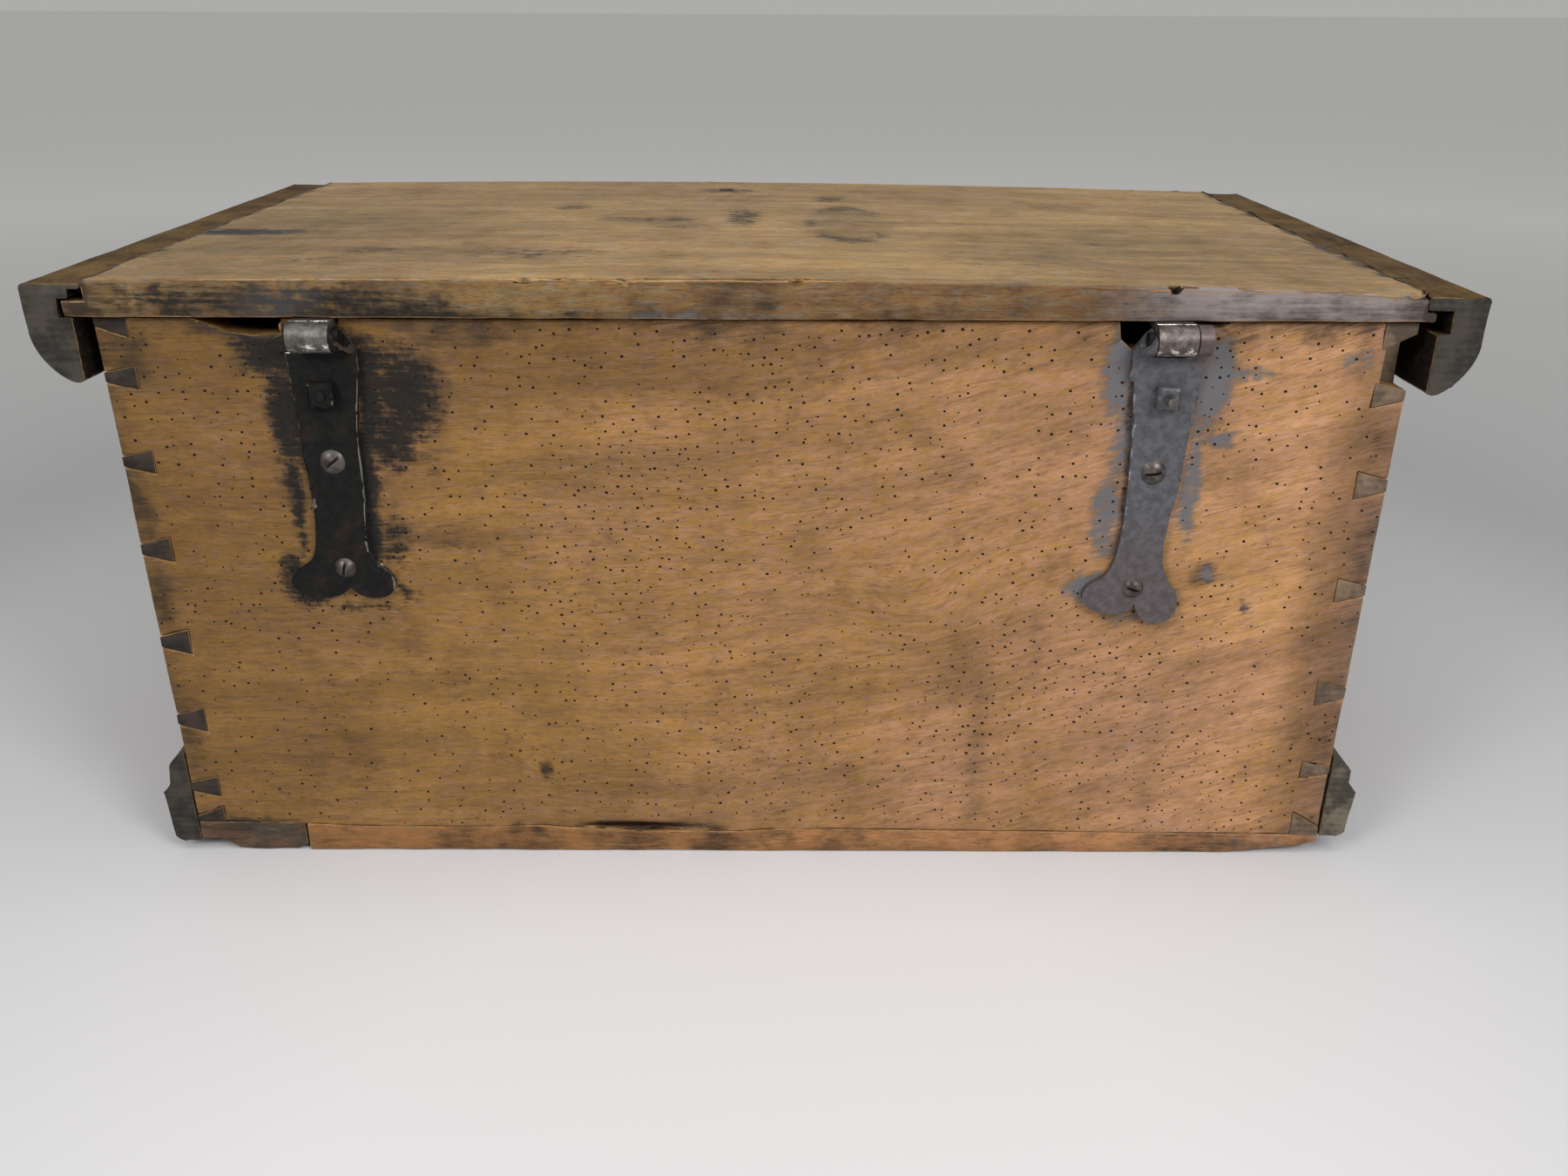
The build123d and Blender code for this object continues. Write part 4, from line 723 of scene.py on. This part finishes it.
def age(
    node, materials, axis, step, arris, rough, seed, marks=None, tones=None,
    flow=None, bend=None, dents=(), beetles=None,
):
    """Replaces a CAD node by a worn copy.

    materials is long grain, then end grain if there is one, and axis is the way the grain runs.
    step is the size of the cells, arris the width of the worn edges and rough the depth of the
    waves. marks, tones, flow, bend and beetles are functions of a place on the surface.
    """
    draw = random.Random(seed)
    mesh = bmesh.new()
    mesh.from_mesh(frame["nodes"][node].data)
    mesh.transform(Matrix.Scale(1 / MM, 4))
    bmesh.ops.remove_doubles(mesh, verts=mesh.verts, dist=0.001)
    bmesh.ops.dissolve_limit(mesh, angle_limit=SAME_PLANE, verts=mesh.verts, edges=mesh.edges)
    rubbed = mesh.faces.layers.int.new("rubbed")
    hole = mesh.verts.layers.float.new("hole")
    soften_edges(mesh, arris, rubbed)
    low = [min(v.co[i] for v in mesh.verts) for i in range(3)]
    high = [max(v.co[i] for v in mesh.verts) for i in range(3)]
    for k in range(3):
        for height in cut_heights(low[k], high[k], step, draw):
            cut(mesh, mesh.verts[:] + mesh.edges[:] + mesh.faces[:], k, height)
    put_in_order(mesh)
    refine(mesh, dents, step)
    mesh.normal_update()
    drift(mesh, step / 4)
    if beetles:
        bore_holes(mesh, beetles, rubbed, hole, seed)
    bmesh.ops.triangulate(mesh, faces=[f for f in mesh.faces if len(f.verts) > 4])
    mesh.normal_update()

    carried = [mesh.verts.layers.float_vector.new(name) for name in ("grain", "marks", "tones")]
    place = along_grain(axis, flow)
    layers = (rubbed, hole, *carried)
    wear_surface(mesh, layers, place, arris, rough, marks, tones, bend, dents, low, high)
    mesh.normal_update()
    for face in mesh.faces:
        face.smooth = True
        if len(materials) > 1 and abs(face.normal[GRAIN_AXES[axis][0]]) > ACROSS_GRAIN:
            face.material_index = 1
    for edge in mesh.edges:
        edge.smooth = not edge.is_manifold or edge.calc_face_angle() < SHADED_SHARP
    mesh.faces.layers.int.remove(rubbed)
    mesh.verts.layers.float.remove(hole)
    mesh.transform(Matrix.Scale(MM, 4))

    data = bpy.data.meshes.new("aged_" + node)
    mesh.to_mesh(data)
    mesh.free()
    piece = new_object("aged_" + node, data)
    for material in materials:
        data.materials.append(material)
    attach(piece, frame["nodes"][node]["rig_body"])
    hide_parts(node)
    print(piece.name, len(data.polygons), "faces")


print("shading breaks at", round(math.degrees(SHADED_SHARP)), "degrees")

# %% [markdown]
# Iron and damp walnut react: around each hinge the wood has gone blue-black, in patches that run along the
# grain. Each patch is listed as its middle across and up, its half width and half height in millimetres, and
# its strength. The shader's noise gives it a ragged edge. Dirt, and places that are only darker, are listed
# the same way. Part of the dirt, and two of the darker places, are painted shadow: along the straps' edges
# and under the lid.

# %% Stains on the back board
BACK_STAINS = (
    (217, 267, 17, 15, 1.0), (159, 246, 19, 24, 1.0), (178, 262, 16, 13, 1.0), (166, 226, 12, 18, 0.9),
    (214, 199, 5, 36, 0.9), (213, 236, 9, 28, 1.1), (221, 157, 7, 13, 0.9), (214, 148, 13, 9, 0.9),
    (190, 141, 20, 4, 0.7), (168, 148, 5, 8, 0.8), (170, 175, 9, 15, 0.6), (152, 176, 14, 3, 0.4),
    (175, 242, 5, 26, 1.2), (180, 208, 5, 26, 1.2), (183, 178, 5, 20, 1.2), (204, 225, 5, 30, 1.0),
    (-162, 256, 8, 22, 1.0), (-163, 189, 8, 23, 0.85), (-166, 225, 6, 20, 0.8), (-206, 256, 8, 20, 1.0),
    (-222, 257, 13, 4, 0.8), (-211, 226, 7, 3.5, 0.9), (-200, 205, 5, 38, 0.9), (-203, 243, 8, 14, 0.9),
    (-160, 152, 16, 8, 1.0), (-190, 143, 16, 6, 0.7), (-181, 137, 18, 4, 0.6), (-213.5, 160, 6.5, 7, 0.85),
    (-190, 268, 22, 6, 0.7), (-233, 143, 3, 4, 0.8), (-268, 262, 9, 7, 0.5),
)
# Among the dirt, the narrow upright patches at -173 to -165 and at 177 to 182 across are painted shadow
# beside the straps, and those from 270 mm up are painted shadow under the lid's edge.
BACK_GRIME_AND_SHADOW = (
    (284, 262, 20, 22, 0.8), (228, 276, 26, 6, 1.0), (286, 150, 9, 120, 0.6), (262, 16, 38, 4, 0.9),
    (62, 17, 50, 4, 1.0), (-286, 140, 8, 150, 0.4), (108, 49, 4.5, 4.5, 1.2), (-145, 6, 4, 4, 0.9),
    (-168, 250, 3, 32, 1.5), (-171.5, 200, 3, 40, 1.5), (-173, 168, 2.5, 22, 1.5), (-165, 272, 8, 9, 1.3),
    (177.5, 240, 3, 30, 1.5), (181.5, 195, 3, 35, 1.5), (-193, 270, 12, 6, 0.8), (290, 210, 5, 20, 0.8),
    (126, 272, 60, 5, 0.5), (40, 274, 50, 4, 0.4), (150, 212, 8, 8, 0.6),
)
# The two wide bands at 264 and 270 mm up are painted shadow under the lid.
BACK_SHADE = (
    (195, 205, 60, 75, 0.4), (120, 264, 160, 20, 0.85), (-60, 270, 160, 12, 0.6), (76, 210, 60, 16, 0.3),
    (193, 145, 50, 16, 0.35), (-110, 63, 6, 52, 0.6), (-200, 63, 7, 52, 0.4), (-101, 112, 14, 22, 0.5),
    (230, 60, 70, 30, 0.3), (40, 40, 120, 22, 0.3), (-284, 140, 24, 190, 1.5), (250, 250, 60, 40, 0.75),
    (290, 150, 26, 150, 0.6), (140, 177, 30, 4, 0.9), (112, 170, 16, 3, 0.7), (240, 190, 40, 30, 0.35),
)
FADE = 1.5  # a mark has faded out where its distance, in half sizes and squared, is this


def strongest(table, across, up):
    """The strongest mark of a table at one place, fading towards its rim."""
    best = 0.0
    for x, z, wide, tall, strength in table:
        away = ((across - x) / wide) ** 2 + ((up - z) / tall) ** 2
        if away < FADE:
            best = max(best, strength * (FADE - away) / FADE)
    return best


print("marks listed on the back:", len(BACK_STAINS + BACK_GRIME_AND_SHADOW + BACK_SHADE))

# %% [markdown]
# The grain on the back runs level at one end and climbs about 17 degrees towards the other, past a swirl and
# a knot. Small functions of a point and of the way its surface looks say how the grain lies there, how
# strong ink, dirt and painted shadow are, how red and how dark the wood is, and how many beetle holes it
# has. In them, noise.noise(point / 60) has patches about 60 mm across.

# %% Grain, tones and beetles of the back board
HALF_CASE = 291.5  # half the width of the case, in mm
CLIMB = 0.30  # the steepest slope of the grain
LEVEL_TO, STEEP_FROM = 190, 450  # mm from the end where the grain is level
# across, up, half width, half height, how far the grain is lifted
SWIRLS = ((-80, 140, 30, 24, 13.0), (108, 49, 16, 9, 7.0))
MANY_BEETLES, FEW_BEETLES = 0.0300, 0.0008  # holes per square millimetre


def back_flow(point):
    """How far the back board's grain has drifted from level, in mm."""
    run, turn = HALF_CASE - point.x, STEEP_FROM - LEVEL_TO
    if run < STEEP_FROM:
        climb = CLIMB * max(run - LEVEL_TO, 0.0) ** 2 / 2 / turn
    else:
        climb = CLIMB * (turn / 2 + (run - STEEP_FROM))
    lift = 0.0
    for x, z, wide, tall, rise in SWIRLS:
        lift += rise * math.exp(-(((point.x - x) / wide) ** 2 + ((point.z - z) / tall) ** 2))
    return lift - climb


def outside(normal, direction):
    """1 on faces that look in a direction, 0 elsewhere."""
    return soft_step(0.3, 0.8, sum(n * d for n, d in zip(normal, direction)))


def back_marks(point, normal):
    """The listed ink and dirt, part of it painted shadow, and a painted shadow all along under the lid."""
    rear = outside(normal, (0, 1, 0))
    stain = strongest(BACK_STAINS, point.x, point.z) * rear
    lid_shadow = soft_step(262, 280, point.z) * 0.45
    return stain, max(strongest(BACK_GRIME_AND_SHADOW, point.x, point.z) * rear, lid_shadow)


def back_tones(point, normal):
    """Redder and paler towards the chest's left, with silver at the very end. Ink is blue there."""
    left = 1 - soft_step(-290, 230, point.x)
    inked = strongest(BACK_STAINS, point.x, point.z) * (point.x < 0)
    redness = max(0.12 + 0.68 * left + 0.4 * noise.noise(point / 60), 0.85 * inked)
    silver = 0.25 * soft_step(-272, -289, point.x) * outside(normal, (0, 1, 0))
    patchy = 0.6 * (1 - left) + 0.35 * soft_step(190, 280, point.x) + 0.2 * noise.noise(point / 45)
    bright_end = 0.35 * soft_step(-190, -260, point.x)
    shade = strongest(BACK_SHADE, point.x, point.z) + patchy - bright_end
    return min(max(redness, 0.0), 1.0) + silver, shade


def back_beetles(point, normal):
    """Dense on the outside, most of all in the middle and on the chest's left."""
    if abs(normal.y) < 0.9:
        return 0.0
    if normal.y < 0:
        return FEW_BEETLES
    crowd = 0.5 + 0.9 * noise.noise(point / 70)
    return MANY_BEETLES * max(crowd, 0.4) * (0.65 + 0.35 * (1 - soft_step(60, 240, point.x)))


print("lift of the grain at its steep end:", round(back_flow(Vector((-HALF_CASE, 0, 280)))), "mm")

# %% [markdown]
# The seam between back board and bottom board isn't straight: somebody planed a wavy edge and
# fitted the other to it. Both boards get the same small rise and fall, so they still meet.
# The back has a long worn hollow in its lower edge, two more in its upper edge, and a faint one
# in its face. These are the four dents.

# %% The back board and the bottom board
REAR = 164  # how far back the back board's outer face lies, in mm
# across, rise
SEAM = (
    (292, 0.5), (236, -0.5), (205, -1.6), (160, -1.4), (112, 0.2),
    (100, -1.0), (62, -2.2), (20, -2.0), (-20, 0.0), (-292, 0.4),
)
BACK_DENTS = (
    ((62, REAR, 17), (50, 6, 4.5), 2.6),
    ((228, REAR, 279), (24, 6, 4), 1.0),
    ((-200.5, REAR, 281), (6.5, 12, 6), 5.0),
    ((-110, REAR, 70), (40, 4, 30), 0.2),
)
BOTTOM_NAIL = (113, 12, 3, 9, 1.2)  # its rust, listed like a stain


def seam_rise(x):
    """How far the seam under the back board rises or falls, in mm."""
    for (x0, z0), (x1, z1) in zip(SEAM, SEAM[1:]):
        if x >= x1:
            return z1 + (z0 - z1) * soft_step(x1, x0, x)
    return SEAM[-1][1]


def back_bend(point):
    """The back board follows the seam at its foot."""
    return seam_rise(point.x) * (1 - soft_step(22, 48, point.z))


def bottom_bend(point):
    """The bottom board follows it at its rear, on its upper side."""
    return seam_rise(point.x) * soft_step(138, 147, point.y) * soft_step(3, 10, point.z)


def bottom_marks(point, normal):
    grime_and_shade = 0.35 + 0.4 * noise.noise(point / 30)
    nail = strongest((BOTTOM_NAIL,), point.x, point.z) * outside(normal, (0, 1, 0))
    under = outside(normal, (0, 0, -1)) * 0.6
    return 0.0, max(grime_and_shade, nail, under)


def bottom_tones(point, normal):
    return 1 - soft_step(-290, 150, point.x), 0.2


age(
    "back_board", (back_walnut, grimy_ends), "x", step=5.6, arris=0.9, rough=0.22, seed=11,
    marks=back_marks, tones=back_tones, flow=back_flow, bend=back_bend, dents=BACK_DENTS,
    beetles=back_beetles,
)
age(
    "bottom_board", (bottom_walnut, grimy_ends), "x", step=7.0, arris=0.8, rough=0.25, seed=12,
    marks=bottom_marks, tones=bottom_tones, bend=bottom_bend,
)

# %% [markdown]
# The lid's top carries the marks of a working life: a large ring, arcs where something round stood, a dark
# streak beside one cleat, and a blue spot round a nail's point. The top is darker towards its ends, as a
# painted fall-off of the light. Its rear edge is smeared with hinge grease at one end and grey at the other,
# partly rubbed and partly a painted sheen, with chips on the arris.

# %% Marks on the lid
TOP_STAINS = (
    (268, 36, 46, 12, 0.85), (-40, -92, 12, 16, 0.62), (60, -2, 34, 12, 0.5), (11, -15, 12, 34, 0.62),
    (104, 104, 36, 16, 0.5), (24, -130, 26, 12, 0.6), (110, -50, 14, 10, 0.5), (40, 20, 18, 9, 0.4),
    (180, 96, 30, 8, 0.45), (215, 118, 26, 6, 0.45), (-150, 60, 60, 5, 0.35), (-110, 120, 50, 4, 0.35),
)
# In TOP_SHADE the patches centred at 230 and -210 across darken the lid's ends as painted fall-off of the
# light.
TOP_SHADE = (
    (-47, 2, 24, 66, 0.75), (65, -6, 30, 30, 0.4), (250, 138, 60, 30, 0.5), (230, 70, 110, 130, 0.8),
    (-20, 155, 300, 12, 0.2), (-210, 100, 110, 110, 0.6), (110, -100, 200, 60, 0.3),
)
# the same for the rear edge
EDGE_STAINS = ((200, 288, 52, 9, 0.8), (150, 284, 34, 5, 0.8), (255, 288, 34, 9, 0.6), (40, 282, 60, 3, 0.5))
EDGE_GRIME = (
    (-240, 284, 60, 6, 0.5), (-290, 288, 10, 12, 0.9), (120, 282, 180, 5, 0.6), (-100, 283, 120, 4, 0.5),
    (285, 288, 14, 12, 1.0), (200, 289, 90, 9, 0.3), (20, 289, 120, 5, 0.5),
)
RING_PLACE, RING_SIZE = (-47, 2), (21, 62)


def lid_marks(point, normal):
    """The listed marks, the ring, and dirt in the seams between the lid and its cleats."""
    top, rear = outside(normal, (0, 0, 1)), outside(normal, (0, 1, 0))
    from_ring = [(point[i] - RING_PLACE[i]) / RING_SIZE[i] for i in (0, 1)]
    off_ring = abs(from_ring[0] ** 2 + from_ring[1] ** 2 - 0.9)
    ring = 0.55 * (1 - soft_step(0.0, 0.5, off_ring))
    stain = max(strongest(TOP_STAINS, point.x, point.y), ring) * top
    stain = max(stain, strongest(EDGE_STAINS, point.x, point.z) * rear)
    seam = soft_step(HALF_CASE - 2, HALF_CASE, abs(point.x)) * 1.5
    return stain, max(strongest(EDGE_GRIME, point.x, point.z) * rear, 0.25 * rear, seam)


def lid_tones(point, normal):
    """Golden on top, darker at its ends as painted fall-off of the light, darker and redder on the rear
    edge, which is silver at the chest's left, partly as a painted sheen.
    """
    top, rear = outside(normal, (0, 0, 1)), outside(normal, (0, 1, 0))
    under = outside(normal, (0, 0, -1))
    # Silver on the rear edge is partly a painted sheen.
    silver = 1.0 * soft_step(-120, -210, point.x) * rear
    redness = 0.25 + (0.2 + 0.35 * soft_step(60, -90, point.x)) * rear + 0.5 * under
    redness += 0.4 * noise.noise(point / 90)
    shade = strongest(TOP_SHADE, point.x, point.y) * top + 0.85 * rear + 0.2 * noise.noise(point / 60)
    return min(max(redness, 0.0), 1.0) + silver, shade - 0.7 * silver


print("marks listed on the lid:", len(TOP_STAINS + TOP_SHADE + EDGE_STAINS + EDGE_GRIME))

# %% [markdown]
# The first dent below is the hole in the lid's rear arris, over a bolt: it goes forward and down.
# The others are chips of that arris, and a shallow hollow on top.

# %% The lid board
LID_REAR = 168
LID_DENTS = (
    ((-181.4, LID_REAR, 298.6), (3.5, 5, 5.2), 4.5, (0, -0.7, -0.7)),
    ((100, LID_REAR, 298.3), (6, 4, 4), 1.6),
    ((57, LID_REAR, 299), (3, 4, 3), 1.4),
    ((-17, LID_REAR, 298.5), (6, 4, 3.5), 1.6),
    ((-HALF_CASE, LID_REAR, 294), (6, 8, 5), 2.2),
    ((270, 60, 298), (30, 14, 6), 0.4),
)


def lid_beetles(point, normal):
    return 0.0006 if abs(normal.y) > 0.9 else 0.0


age(
    "lid_board", (lid_walnut_with_painted_sheen, grimy_ends), "x", step=6.5, arris=1.1, rough=0.3, seed=13,
    marks=lid_marks, tones=lid_tones, dents=LID_DENTS, beetles=lid_beetles,
)

# %% [markdown]
# The rest of the carcase and the cleats. Each board's grain runs its long way: across the front,
# and from front to back in the end boards, the cleats and the side mouldings. The old repair in
# the bottom board's rear edge is broken wood.

# %% Front, ends, cleats, mouldings and the old repair


def darker_low_and_under_lid(point, normal):
    """Darker towards the floor and under the lid."""
    grime_and_shade = 0.5 * (1 - soft_step(15, 70, point.z)) + 0.35 * soft_step(255, 285, point.z)
    return 0.0, max(grime_and_shade + 0.25 * noise.noise(point / 40), 0.0)


def end_marks(point, normal):
    """Dirt on the dovetail pins, and low on the outside of the ends."""
    low = outside(normal, (math.copysign(1, point.x), 0, 0)) * soft_step(120, 20, point.z)
    return 0.0, 0.55 * outside(normal, (0, 1, 0)) + 0.35 * low


def cleat_dirt_and_shade(point, normal):
    """A cleat has painted shade on its inner side and underneath, where it lies in shadow, over patchy dirt.
    """
    inner = outside(normal, (-math.copysign(1, point.x), 0, 0)) + outside(normal, (0, 0, -1))
    inner = min(inner, 1.0)
    return 0.8 * inner, max(1.3 * inner, 0.35 + 0.3 * noise.noise(point / 30))


def cleat_tones(point, normal):
    return 0.3, 0.45 + 0.4 * noise.noise(point / 25) - 0.35 * outside(normal, (0, 0, 1))


def plain_tones(point, normal):
    return min(max(0.4 + 0.6 * noise.noise(point / 90), 0), 1), max(0.25 + 0.4 * noise.noise(point / 60), 0)


def patch_tones(point, normal):
    """The repair is orange-brown at its outer end, dark and grey elsewhere."""
    orange = 0.9 * soft_step(262, 275, point.x) * soft_step(16, 9, point.z)
    return max(orange, 0.1 + 0.9 * noise.noise(point / 9)), 0.3 + 0.9 * noise.noise(point / 14)


def few_beetles(point, normal):
    return 0.0009 if max(abs(n) for n in normal) > 0.9 else 0.0


end_board = ("y", 7.0, 0.35, 0.2, end_marks, plain_tones, few_beetles)
cleat = ("y", 5.0, 1.2, 0.5, cleat_dirt_and_shade, cleat_tones, None)
moulding = ("y", 6.0, 0.9, 0.35, None, plain_tones, None)
# node, wood, end grain, seed, then way of the grain, step, arris, rough, marks, tones, beetles
for node, wood, ends, seed, (axis, step, arris, rough, marks, tones, beetles) in (
    ("front_board", plain_walnut, grimy_ends, 14, ("x", 8.0, 0.9, 0.25, darker_low_and_under_lid, plain_tones, few_beetles)),
    ("end_board_left", plain_walnut, brown_ends, 15, end_board),
    ("lid_cleat_left", cleat_walnut, cleat_ends, 17, cleat),
    ("base_moulding_left", dark_walnut, moulding_ends, 19, moulding),
    ("end_board_right", plain_walnut, grimy_ends, 16, end_board),
    ("lid_cleat_right", cleat_walnut, cleat_ends, 18, cleat),
    ("base_moulding_right", dark_walnut, cleat_ends, 20, moulding),
    ("base_moulding_front", dark_walnut, cleat_ends, 21, ("x", 7.0, 0.9, 0.35, None, plain_tones, None)),
    ("bottom_edge_patch", patch_walnut, cleat_ends, 22, ("x", 3.0, 0.9, 1.0, None, patch_tones, None)),
    ("cleat_pegs", plain_walnut, grimy_ends, 23, ("z", 3.0, 0.4, 0.15, None, plain_tones, None)),
):
    age(node, (wood, ends), axis, step, arris, rough, seed, marks, tones, beetles=beetles)

# %% [markdown]
# Straps, leaves and nuts are aged like the wood, only finer: forging leaves soft edges and shallow hammer
# marks. One side of a strap is rubbed and painted lighter as a highlight, a loop shines where it turns, and
# rust sits where damp stays. Painted shade darkens the inside of an ear, and a loop's top under the lid's
# edge.

# %% The hinges and their nuts
AXIS_Y, AXIS_Z = 171.3, 273.4  # where the hinge pins' middle line lies
EAR_INSIDE = 4.3


def rub_highlight_and_ear_shade(point, normal):
    """The side of a strap that faces the middle is rubbed and painted lighter as a highlight, and inside its
    ear is painted shade.
    """
    inside = math.hypot(point.y - AXIS_Y, point.z - AXIS_Z) < EAR_INSIDE
    return outside(normal, (-math.copysign(1, point.x), 0, 0)) * 1.2, 0.9 * inside


def loop_rub_and_lid_shadow(point, normal):
    """A loop is rubbed bright low on its outside, and has painted shadow on top, under the lid's edge."""
    low = outside(normal, (0, 0.8, -0.6)) * soft_step(274, 268, point.z)
    return 0.5 * low, 0.3 * soft_step(277, 281, point.z)


def ear_rust(point, normal):
    """The outer ear of the chest's left strap has rusted, and the strap is brown below it."""
    ear = 0.25 * soft_step(258, 266, point.z) * soft_step(-190, -193, point.x)
    return 0.5 + max(ear, 0.13 * soft_step(205, 160, point.z) * (point.x < 0)), 0.0


for node, material, arris, rub_and_highlight in (
    ("hinge_strap_right", black_scale, 0.75, rub_highlight_and_ear_shade),
    ("hinge_strap_left", blue_iron, 0.75, None),
    ("hinge_leaf_right", bare_iron, 0.4, loop_rub_and_lid_shadow),
    ("hinge_leaf_left", brown_iron, 0.4, loop_rub_and_lid_shadow),
    ("strap_nut_right", black_scale, 0.75, None),
    ("strap_nut_left", blue_iron, 0.75, None),
):
    age(node, (material,), "z", step=3.0, arris=arris, rough=0.16, seed=31, marks=rub_and_highlight, tones=ear_rust)

# %% [markdown]
# The straps' screws have round heads with a filed slot, and painted shade fills the slot.

# %% The screws of the straps
# across, up and radius of each head
HEADS = ((-181.4, 211.3, 5.8), (-178.4, 153.4, 5.0), (193.9, 214.9, 5.8), (194.9, 162.4, 5.0))
HEAD_RISE = 2.6
STRAP_FACE = 167.2  # how far back the straps' outer face lies


def slot_shade(point, normal):
    """Painted shade fills a screw's slot: whatever lies more than 0.2 mm under the round of its head."""
    x, z, radius = min(HEADS, key=lambda head: math.hypot(point.x - head[0], point.z - head[1]))
    ball = (radius**2 + HEAD_RISE**2) / 2 / HEAD_RISE
    under = ball - math.dist(point, (x, STRAP_FACE + HEAD_RISE - ball, z))
    return 0.0, soft_step(0.2, 0.5, under)


age("strap_screws", (screw_iron,), "z", step=1.6, arris=0.2, rough=0.0, seed=32, marks=slot_shade)

# %% [markdown]
# The small turned or drawn pieces keep their CAD shape, which is right as it is, and take their
# finish on the slots that they already have.

# %% Pins, bolts, nails and the lock
for material, nodes in (
    (black_scale, (
        "hinge_pin_left", "hinge_pin_right", "strap_bolt_right", "leaf_screws", "lock_plate",
        "lock_case", "lock_nails",
    )),
    (bare_iron, ("strap_bolt_left", "lock_bolt")),
    (blue_iron, ("keyhole_escutcheon",)),
    (brown_iron, (
        "bolt_guides", "escutcheon_pins", "lid_staple", "staple_nails", "moulding_nails",
        "bottom_nails",
    )),
):
    for node in nodes:
        for place in frame["nodes"][node].material_slots:
            place.material = material
print("small ironwork finished")

# %% [markdown]
# The floor is a plain pale sheet, with a painted pool of light round the chest: it is greyer about a metre
# away as a painted fall-off of the light, and nearly white beyond, where it stands in for the wall. It is
# only staging.

# %% The floor
FLOOR_REACH = 80.0  # metres to each side
FLOOR_BEHIND = 0.45  # its middle lies behind the chest, where the camera is
UNDER_CHEST = 0.05 * MM
NARROWER = (1.7, 1.0, 1.0)  # the light part is longer from front to back than across
# The near colour is the painted pool of light and the far one its painted fall-off. The last is the wall's
# even white.
PAPER_IN_PAINTED_LIGHT, PAPER_IN_PAINTED_SHADE, WALL_PAPER = "#cccbcd", "#a4a5a5", "#f0f0f0"

floor_mesh = bmesh.new()
bmesh.ops.create_grid(floor_mesh, x_segments=1, y_segments=1, size=FLOOR_REACH)
floor_data = bpy.data.meshes.new("floor")
floor_mesh.to_mesh(floor_data)
floor_mesh.free()
floor = new_object("floor", floor_data)
floor.location = (0.0, FLOOR_BEHIND, cad_low.z - UNDER_CHEST)

paper, tree, shader = new_material("pale paper")
where = add(tree, "TexCoord", {}, 3)
away = add(tree, "VectorMath", {0: where}, 1, operation="LENGTH")
oval = add(tree, "VectorMath", {0: where, 1: NARROWER}, operation="MULTIPLY")
oval = add(tree, "VectorMath", {0: oval}, 1, operation="LENGTH")
far = add(tree, "MapRange", {0: oval, 1: 0.3, 2: 1.4})
pale = add(tree, "Mix", {0: far, 6: PAPER_IN_PAINTED_LIGHT, 7: PAPER_IN_PAINTED_SHADE}, 2, **COLOURS)
very_far = add(tree, "MapRange", {0: away, 1: 1.0, 2: 3.0})
pale = add(tree, "Mix", {0: very_far, 6: pale, 7: WALL_PAPER}, 2, **COLOURS)
feed(shader, {"Base Color": pale, "Roughness": 0.75})
floor_data.materials.append(paper)
print("floor at", round(floor.location.z / MM, 2), "mm")
